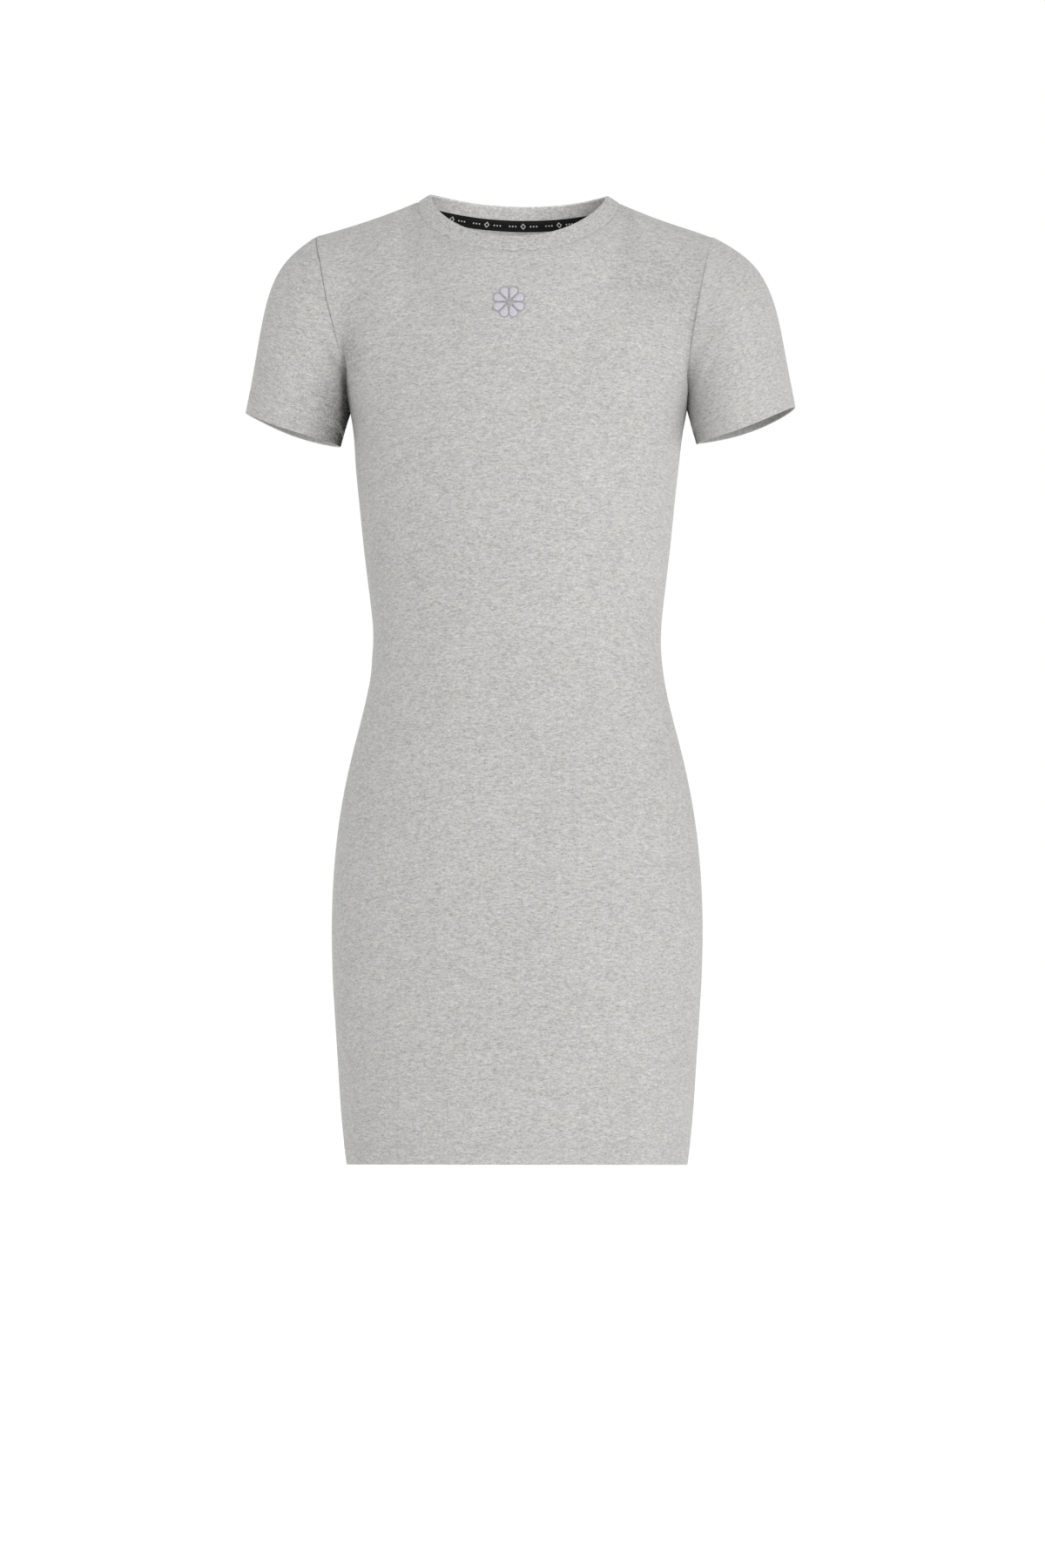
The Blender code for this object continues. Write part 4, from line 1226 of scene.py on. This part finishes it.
def sleeve(name, material, lining):
    grid, n = grids[name], shared[name]
    rows, cols = grid.shape[:2]
    low = cols // 2  # the column of the underarm seam; column 0 is the top
    s = running(grid, 1)
    t = running(grid, 0)
    girth = s[:, -1:] + np.linalg.norm(grid[:, -1] - grid[:, 0],
                                       axis=-1)[:, None]
    across = np.where(np.arange(cols)[None] <= low, s, s - girth)
    seam = np.abs(s - s[:, low:low + 1])
    foot = len(HEM_STOPS)
    hem = t[-1:] - t
    hem[-foot:] = np.array(HEM_STOPS)[::-1][:, None]
    arm = t

    fold = creases(SLEEVE_CREASES, across, hem) * ramp(arm, 0.0, 14.0) * ramp(
        seam, 0.0, 14.0)
    fold += tip_swell(grid)
    # low on the armhole the sleeve turns in towards the body
    far_side = name == "sleeve_right"
    low_down = ramp(-grid[..., 2], 115.0 if far_side else 140.0, 178.0) * ramp(
        seam, 4.0, 36.0)
    fold -= (4.8 if far_side else 1.2) * low_down * np.exp(
        -((arm - 6.0) / 11.0) ** 2)
    if not far_side:
        # a fold runs up from this underarm, and the front stays fuller
        # beside the underarm seam
        fold += creases(ARM_FOLDS, grid[..., 0], grid[..., 2]) * (
            grid[..., 1] < 0)
        fold += 1.6 * np.exp(-((seam - 15.0) / 9.0) ** 2) * (
            across > 0) * ramp(hem, 6.0, 24.0) * ramp(arm, 4.0, 20.0)
    near_under = ramp(seam, 6.0, 22.0)
    edge = seam_profile(arm, seam_groove(grid[..., 0], grid[..., 2]),
                        0.35 * near_under * (1.0 if far_side else 0.5))
    edge += seam_profile(seam, 0.45, 0.0)
    edge += 0.12 * (1 - ramp(hem, 18.6, 23.8))
    edge += 0.08 * np.exp(-((hem - np.mean(STITCH_ROWS)) / 1.6) ** 2)
    edge += stitch_profile(hem, STITCH_ROWS, 0.16)
    if name == "sleeve_left":
        # this cuff's front hangs lower, so that its mouth is narrower
        share = np.clip(across / (girth / 2), 0.0, 1.0)
        grid = grid.copy()
        grid[..., 2] -= 2.6 * np.sin(np.pi * share) ** 1.5 * (
            1 - ramp(hem, 0.0, 60.0))
        share = np.clip(-across / (girth / 2), 0.0, 1.0)
        grid[..., 2] += 2.0 * np.exp(-((share - 0.78) / 0.26) ** 2) * (
            1 - ramp(hem, 0.0, 60.0))
    wall = LAYER + (HEM_DOUBLE - LAYER) * (1 - ramp(
        hem, HEM_DEPTH - 0.2, HEM_DEPTH + 0.9))
    r = HEM_DOUBLE / 2
    round_off = np.where(hem < r, r - half_round(hem, HEM_DOUBLE), 0.0)
    outer = grid + n * (fold + edge - round_off)[..., None]
    inner = grid + n * (fold - wall / fits[name] + round_off)[..., None]

    level = (across[:1] * 0.45 + across[-1:] * 0.55) + 0 * across
    grain = np.stack([level, hem, np.full_like(t, 7.0 if name ==
                                               "sleeve_left" else 19.0)], -1)
    # painted shade in the grooves of the armhole and underarm seams
    painted_shade = np.maximum(painted_seam_shade(grid[..., 0], grid[..., 2]) * np.exp(
        -(arm / 0.55) ** 2), 0.14 * np.exp(-(seam / 0.62) ** 2))
    # painted shade on the sleeve's inner side under the arm, wide on -X and
    # narrow on +X
    underarm_shade, reach = (0.88, 40.0) if far_side else (0.90, 16.0)
    painted_shade = np.maximum(painted_shade, underarm_shade * np.exp(-(seam / reach) ** 2))
    # painted shade low in the armpit fold
    painted_shade = np.maximum(painted_shade, painted_armpit_shade(grid, arm))
    obj = shell(name + "_cloth", outer, inner, grain, painted_shade, True, material,
                lining)
    return obj, dict(outer=outer, inner=inner, arm=arm, hem=hem, seam=seam,
                     across=across, t=t)


def neckband(material, lining):
    grid, n = grids["neckband"], shared["neckband"]
    t = running(grid, 0)
    s = running(grid, 1)
    width = t[-1:]
    fold = width - t
    crown = 0.30 * np.sin(np.pi * np.clip(t / width, 0, 1)) ** 0.8 + 0.12
    edge = -0.30 * np.exp(-(t / 0.75) ** 2) + crown * ramp(t, 0.3, 1.6)
    round_off = BAND_THICK / 2 - half_round(fold, BAND_THICK)
    outer = grid + n * (edge - round_off)[..., None]
    inner = grid - n * (BAND_THICK / fits["neckband"] - round_off)[..., None]
    # the courses run along the band, both ways from the +X neck point
    rim, far = s[6], np.argmin(grid[6, :, 0])
    other_way = rim[-1] + np.linalg.norm(grid[6, -1] - grid[6, 0]) - rim
    level = np.where(np.arange(len(rim)) <= far, rim,
                     other_way * rim[far] / other_way[far])
    grain = np.stack([np.tile(level, (len(t), 1)), t,
                      np.full_like(t, 77.0)], -1)
    # painted shade in the groove of the band's seam
    painted_shade = 0.12 * np.exp(-(t / 0.6) ** 2)
    obj = shell("neckband_cloth", outer, inner, grain, painted_shade, True, material,
                lining)
    return obj, dict(outer=outer, inner=inner, n=n)


jersey = {
    "front": jersey_material("jersey_front", 1.0, 1.06),
    "back": jersey_material("jersey_back", 2.0),
    "sleeve_left": jersey_material("jersey_sleeve_left", 3.0),
    "sleeve_right": jersey_material("jersey_sleeve_right", 4.0, 1.2),
    "neckband": jersey_material("jersey_neckband", 5.0, 1.35),
}
front, front_at = panel("front", jersey["front"])
# the back's inner face is a lighter copy of its jersey: painted light
back, back_at = panel("back", jersey["back"], jersey_material(
    "jersey_back_inside_painted_light", 2.0, 1.0, JERSEY_ALBEDO * 1.4))
# the +X sleeve's inner face is a darker copy of its jersey: painted shade
sleeve_left, left_at = sleeve(
    "sleeve_left", jersey["sleeve_left"],
    jersey_material("jersey_sleeve_left_inside_painted_shade", 3.0, 1.0,
                    JERSEY_ALBEDO * 0.88))
# the -X sleeve's inner face is a lighter copy of its jersey: painted light
sleeve_right, right_at = sleeve(
    "sleeve_right", jersey["sleeve_right"],
    jersey_material("jersey_sleeve_right_inside_painted_light", 4.0, 1.0,
                    JERSEY_ALBEDO * 1.3))
# the band's inner face is a lighter copy of its jersey: painted light
band, band_at = neckband(jersey["neckband"], jersey_material(
    "jersey_neckband_inside_painted_light", 6.0, 1.1, JERSEY_ALBEDO * 1.55))


# --------------------------------------------------------------- neck tape
def neck_tape(material):
    """Tape over the back neck seam, on the back panel's inner face."""
    cols = np.abs(US) <= NECK_SHARE - 0.004
    inner = back_at["inner"][:, cols]
    n = shared["back"][:, cols]
    top = back_at["top"][:, cols]
    rows = 0.5 + np.concatenate([[0.0, 0.35], np.linspace(0.9, TAPE_WIDTH - 0.9,
                                                          11),
                                 [TAPE_WIDTH - 0.35, TAPE_WIDTH]])
    place, ups = [], []
    for j in range(inner.shape[1]):
        order = slice(None, None, -1)
        d = top[order, j]
        place.append(np.stack([np.interp(rows, d, inner[order, j, k])
                               for k in range(3)], 1))
        ups.append(unit(np.stack([np.interp(rows, d, n[order, j, k])
                                  for k in range(3)], 1)))
    place = np.array(place).transpose(1, 0, 2)
    ups = np.array(ups).transpose(1, 0, 2)
    d = rows - rows[0]
    edge = np.minimum(d, TAPE_WIDTH - d)
    thick = 0.35 + 0.45 * ramp(edge, 0.0, 0.5)
    thick = thick - 0.22 * np.exp(-((edge - 1.3) / 0.45) ** 2)
    s = running(place, 1)
    mid = s.shape[1] // 2
    s = s - s[:, mid:mid + 1]
    ripple = 0.10 * np.sin(s / 9.0 + 1.3) + 0.07 * np.sin(s / 4.1)
    near = place - ups * 0.18
    far = place - ups * (0.18 + thick[:, None] + ripple)[..., None]
    grain = np.stack([s[6:7] + 0 * s, np.repeat((TAPE_WIDTH - d)[:, None],
                                                s.shape[1], 1),
                      np.zeros_like(s)], -1)
    obj = shell("neck_tape_woven", near, far, grain, np.zeros_like(s), False,
                material)
    return obj, dict(face=far, up=-ups, d=d)


tape, tape_at = neck_tape(tape_material("woven_tape"))


# ---------------------------------------------------------------- stitches
THREAD_LIGHT = (0.47, 0.465, 0.455)
THREAD_GREY = (0.40, 0.395, 0.388)
thread_light = thread_material("thread_light", THREAD_LIGHT)
thread_grey = thread_material("thread_grey", THREAD_GREY)
thread_black = thread_material("thread_black", (0.012, 0.012, 0.013))


def sewn(name, runs, material, pitch=STITCH_PITCH, length=2.35, width=0.42,
         height=0.20, sink=0.05):
    """Rows of straight stitches, one bead a stitch, along lines on cloth."""
    verts, quads, tris, grain = [], [], [], []
    count = 0
    for points, ups, closed in runs:
        place, along, up, at = along_line(points, ups, pitch, closed)
        v, q, t = stitch_mesh(place + up * sink, along, up, length, width,
                              height)
        per = len(v) // len(place)
        verts.append(v)
        quads.append(q + count)
        tris.append(t + count)
        own_at = np.repeat(at, per)
        grain.append(np.stack([own_at, v[:, 0] * 0.3 + v[:, 2], v[:, 1]], 1))
        count += len(v)
    return thread_object(name, np.concatenate(verts), np.concatenate(quads),
                         np.concatenate(tris), material,
                         np.concatenate(grain))


def hem_runs(at, n, closed, upward):
    """The two rows of a hem's cover stitch."""
    out = []
    for stop in STITCH_ROWS:
        k = HEM_STOPS.index(stop)
        row = k if upward else -1 - k
        out.append((at["outer"][row], n[row], closed))
    return out


def zigzag(name, at, n, closed, upward, material, pitch=2.1):
    """The cover threads that cross between a hem's two rows, one way and
    then the other."""
    k = [HEM_STOPS.index(stop) for stop in STITCH_ROWS]
    low, high = (at["outer"][r if upward else -1 - r] for r in k)
    m = n[k[0] if upward else -1 - k[0]]
    place, along, up, run = along_line((low + high) / 2, m, pitch, closed)
    cross = np.cross(along, up)
    span = float(np.mean(np.linalg.norm(high - low, axis=1)))
    lean = np.where(np.arange(len(place)) % 2 == 0, 1.0, -1.0)[:, None]
    way = unit(cross * span + along * pitch * 0.8 * lean)
    verts, quads, tris = stitch_mesh(place + up * 0.06, way, up, span * 1.02,
                                     0.38, 0.28)
    per = len(verts) // len(place)
    grain = np.stack([np.tile(np.linspace(0, span, per), len(place)),
                      np.repeat(run, per), verts[:, 1]], 1)
    return thread_object(name, verts, quads, tris, material, grain)


hem_parts = {}
for piece_name, where, is_ring, upward, material in (
        ("front", front_at, False, True, thread_light),
        ("back", back_at, False, True, thread_light),
        ("sleeve_left", left_at, True, False, thread_grey),
        ("sleeve_right", right_at, True, False, thread_grey)):
    hem_parts[piece_name] = (
        sewn("hem_stitches_" + piece_name, hem_runs(
            where, shared[piece_name], is_ring, upward), material),
        zigzag("hem_cover_" + piece_name, where, shared[piece_name], is_ring,
               upward, thread_light))


def neck_runs(at, n):
    cols = np.abs(US) <= NECK_SHARE - 0.004
    out = []
    for stop in NECK_STITCH_ROWS:
        row = -1 - NECK_STOPS.index(stop)
        out.append((at["outer"][row][cols], n[row][cols], False))
    return out


neck_front = sewn("neck_stitches_front", neck_runs(front_at, shared["front"]),
                  thread_grey)
neck_back = sewn("neck_stitches_back", neck_runs(back_at, shared["back"]),
                 thread_grey)


def tape_runs():
    out = []
    for k in (3, -4):
        out.append((tape_at["face"][k], tape_at["up"][k], False))
    return out


tape_stitches = sewn("tape_stitches", tape_runs(), thread_black, 3.0, 2.5,
                     0.40, 0.18, 0.02)


# --------------------------------------------------- chest motif: a flower
MOTIF_AT = (-0.5, -108.5)  # x and z on the front panel
MOTIF_PETALS = 8
PETAL_COLUMNS = ("along", "half_width")
PETAL = ((0.0, 0.7), (0.10, 1.3), (0.30, 2.5), (0.55, 3.7), (0.75, 3.9),
         (0.90, 3.0), (0.97, 1.7), (1.0, 0.0))
PETAL_FROM, PETAL_TO = 3.8, 14.8


def satin_material(name, colour, sheen=0.3):
    """Rayon embroidery thread laid side by side: fine ridges with gloss."""
    web = Web(name)
    grain = web.attribute("grain")
    lay = web.noise(web.scaled(grain, (2700.0, 330.0, 900.0)), 1.0, 0.6)
    tone = web.noise(web.scaled(grain, (700.0, 300.0, 300.0),
                                (5.1, 2.2, 8.8)), 1.0, 0.5)
    value = web.total(web.about(lay, 0.55), web.about(tone, 0.25), 1.0)
    base = web.times((*colour, 1.0), value)
    return web.finish(base=base, roughness=0.42, normal=web.bump(
        lay, 0.00022, 0.8), sheen=sheen, specular=0.45)


def front_surface():
    """Quadratic fit of the front panel's face round the motif."""
    p = front_at["outer"].reshape(-1, 3)
    near = np.hypot(p[:, 0] - MOTIF_AT[0], p[:, 2] - MOTIF_AT[1]) < 34.0
    p = p[near & (p[:, 1] < 0)]
    x, z = p[:, 0] - MOTIF_AT[0], p[:, 2] - MOTIF_AT[1]
    a = np.stack([np.ones_like(x), x, z, x * x, x * z, z * z, x * x * z,
                  z * z * z], 1)
    k = np.linalg.lstsq(a, p[:, 1], rcond=None)[0]

    def at(u, v):
        """Point and outward normal u to the side and v up from the middle."""
        # v runs along the cloth, so the slope shortens it in height
        slope = k[2]
        z = v / math.sqrt(1 + slope * slope)
        x = u
        y = (k[0] + k[1] * x + k[2] * z + k[3] * x * x + k[4] * x * z
             + k[5] * z * z + k[6] * x * x * z + k[7] * z**3)
        dx = k[1] + 2 * k[3] * x + k[4] * z + 2 * k[6] * x * z
        dz = k[2] + k[4] * x + 2 * k[5] * z + k[6] * x * x + 3 * k[7] * z * z
        n = unit(np.stack([dx, -np.ones_like(dx), dz], -1))
        return np.stack([x + MOTIF_AT[0], y, z + MOTIF_AT[1]], -1), n

    return at


on_front = front_surface()


def satin_patch(outline, rows, cols, height, turn, offset=0.0):
    """A raised patch: outline(t) gives its half width at t from 0 to 1 of its
    length, as (along, half width); turn maps its plane to the cloth's."""
    t = np.linspace(0.0, 1.0, rows)
    w = np.linspace(-1.0, 1.0, cols)
    along, half = outline(t)
    a = np.repeat(along[:, None], cols, 1)
    b = half[:, None] * w[None, :]
    end = np.minimum(t, 1 - t)[:, None] * 4
    crown = np.sqrt(np.clip(1 - w[None, :] ** 2, 0, 1)) * np.clip(
        end, 0, 1) ** 0.5
    u, v = turn(a, b)
    p, n = on_front(u, v)
    top = p + n * (0.12 + offset + height * crown)[..., None]
    low = p - n * 0.30
    # threads lie across the patch
    grain = np.stack([a, b, 0 * a], -1)
    return top, low, grain


def petals():
    tops = []
    xs = column(PETAL, PETAL_COLUMNS, "along")
    half = spline(xs, column(PETAL, PETAL_COLUMNS, "half_width"))
    for k in range(MOTIF_PETALS):
        angle = 2 * math.pi * (k + 0.5) / MOTIF_PETALS
        c, s = math.cos(angle), math.sin(angle)

        def turn(a, b, c=c, s=s):
            return a * c - b * s, a * s + b * c

        def outline(t):
            return (PETAL_FROM + (PETAL_TO - PETAL_FROM) * t,
                    np.maximum(half(t), 0.05))

        tops.append((satin_patch(outline, 17, 9, 0.75, turn), k))
    return tops


def petal_edges():
    """A narrow satin line round each petal."""
    xs = column(PETAL, PETAL_COLUMNS, "along")
    half = spline(xs, column(PETAL, PETAL_COLUMNS, "half_width"))
    out = []
    t = 0.5 - 0.5 * np.cos(np.linspace(0.0, math.pi, 21))
    for k in range(MOTIF_PETALS):
        angle = 2 * math.pi * (k + 0.5) / MOTIF_PETALS
        c, s = math.cos(angle), math.sin(angle)
        a = PETAL_FROM + (PETAL_TO - PETAL_FROM) * t
        b = np.maximum(half(t), 0.0)
        loop = np.concatenate([np.stack([a, b], 1),
                               np.stack([a[::-1], -b[::-1]], 1)[1:]])
        ahead = np.gradient(loop, axis=0)
        nrm = unit(np.stack([-ahead[:, 1], ahead[:, 0]], 1))
        w = np.linspace(-1.0, 1.0, 5)
        pts = loop[:, None, :] + nrm[:, None, :] * w[None, :, None] * 0.42
        u = pts[..., 0] * c - pts[..., 1] * s
        v = pts[..., 0] * s + pts[..., 1] * c
        p, n = on_front(u, v)
        crown = np.sqrt(np.clip(1 - w[None, :] ** 2, 0, 1)) + 0 * u
        top = p + n * (0.35 + 0.42 * crown)[..., None]
        low = p - n * 0.30
        run = lengths(loop)
        grain = np.stack([np.repeat(run[:, None], 5, 1),
                          np.repeat(w[None], len(loop), 0), 0 * u], -1)
        out.append((top, low, grain))
    return out


def join(objects, name):
    """One object of several, by its meshes' points and faces."""
    base = objects[0]
    with bpy.context.temp_override(active_object=base,
                                   selected_editable_objects=objects):
        bpy.ops.object.join()
    base.name = name
    base.data.name = name
    return base


satin_pale = satin_material("satin_pale", (0.42, 0.405, 0.44))
satin_mauve = satin_material("satin_mauve", (0.27, 0.255, 0.285))
parts = []
for (top_face, low_face, patch_grain), k in petals():
    patch_grain[..., 2] = 3.0 * k
    parts.append(shell(f"petal_{k}", top_face, low_face, patch_grain,
                       np.zeros(top_face.shape[:2]), False, satin_pale))
motif_petals = join(parts, "flower_petals")
parts = []
for k, (top_face, low_face, patch_grain) in enumerate(petal_edges()):
    patch_grain[..., 2] = 5.0 * k
    parts.append(shell(f"petal_edge_{k}", top_face, low_face, patch_grain,
                       np.zeros(top_face.shape[:2]), False, satin_mauve))


def heart(t):
    r = 2.9
    a = -r + 2 * r * t
    return a, np.sqrt(np.maximum(r * r - a * a, 0.004))


top_face, low_face, patch_grain = satin_patch(
    heart, 19, 11, 0.85, lambda a, b: (a, b), 0.1)
parts.append(shell("heart", top_face, low_face, patch_grain,
                   np.zeros(top_face.shape[:2]), False, satin_mauve))
motif_lines = join(parts, "flower_lines")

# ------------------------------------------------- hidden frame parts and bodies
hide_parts("front")
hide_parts("back")
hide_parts("sleeve_left")
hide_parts("sleeve_right")
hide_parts("neckband")
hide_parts("neck_tape")

threads = [piece for pair in hem_parts.values() for piece in pair]
threads += [neck_front, neck_back, motif_petals, motif_lines]
for piece in (front, back, sleeve_left, sleeve_right, band, *threads):
    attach(piece, "root")
for piece in (tape, tape_stitches):
    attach(piece, "root")

SHEET_COLUMNS = ("piece", "width", "length", "area")

# ------------------------------------------------------------ floor, light
floor_web = Web("pale_floor")
floor_web.finish(base=(0.15, 0.15, 0.15, 1.0), roughness=0.9, specular=0.1)
floor_web.shader.inputs["Emission Color"].default_value = (1.0, 1.0, 1.0, 1.0)
floor_web.shader.inputs["Emission Strength"].default_value = 0.94
floor_mesh = bpy.data.meshes.new("floor")
floor_mesh.from_pydata([(-14, -14, -1.42), (14, -14, -1.42), (14, 14, -1.42),
                        (-14, 14, -1.42)], [], [(0, 1, 2, 3)])
floor_mesh.update()
floor_mesh.materials.append(floor_web.material)
floor = bpy.data.objects.new("floor", floor_mesh)
bpy.context.scene.collection.objects.link(floor)


def soft_light(name, at, towards, size, power, colour=(1.0, 1.0, 1.0)):
    data = bpy.data.lights.new(name, "AREA")
    data.shape = "DISK"
    data.size = size
    data.energy = power
    data.color = colour
    obj = bpy.data.objects.new(name, data)
    bpy.context.scene.collection.objects.link(obj)
    obj.location = at
    obj.rotation_euler = (Vector(towards) - Vector(at)).to_track_quat(
        "-Z", "Y").to_euler()
    return obj


def around(angle, rise, distance=4.6):
    """A place seen from the dress at this angle from the front, towards +X,
    and this rise over level, in degrees."""
    a, e = math.radians(angle), math.radians(rise)
    return (distance * math.sin(a) * math.cos(e),
            -distance * math.cos(a) * math.cos(e),
            -0.45 + distance * math.sin(e))


KEY_POWER = 96.0
SIDE_POWER = 31.0
soft_light("key", around(30, 12), (0, 0, -0.45), 2.0, KEY_POWER)
soft_light("side", around(70, 12), (0, 0, -0.45), 2.0, SIDE_POWER)

# white all round at eye level, softer overhead, most so on the key's side
world = bpy.data.worlds.new("studio")
bpy.context.scene.world = world
world.use_nodes = True
sky = world.node_tree
background = sky.nodes["Background"]
background.inputs["Color"].default_value = (1.0, 1.0, 1.0, 1.0)
ways = sky.nodes.new("ShaderNodeTexCoord")
parts_of_way = sky.nodes.new("ShaderNodeSeparateXYZ")
sky.links.new(ways.outputs["Generated"], parts_of_way.inputs[0])


def sky_ramp(value, low, high, first, last):
    made = sky.nodes.new("ShaderNodeMapRange")
    made.interpolation_type = "SMOOTHSTEP"
    sky.links.new(value, made.inputs["Value"])
    for key, number in (("From Min", low), ("From Max", high),
                        ("To Min", first), ("To Max", last)):
        made.inputs[key].default_value = number
    return made


overhead = sky_ramp(parts_of_way.outputs[0], -0.6, 0.6, 1.3, 0.1)
strength = sky_ramp(parts_of_way.outputs[2], 0.2, 0.8, 1.0, 0.0)
sky.links.new(overhead.outputs[0], strength.inputs["To Max"])
sky.links.new(strength.outputs[0], background.inputs["Strength"])

settings = bpy.context.scene.view_settings
settings.view_transform = "Standard"
settings.look = "None"
settings.exposure = 0.0
settings.gamma = 1.0

bpy.context.view_layer.update()
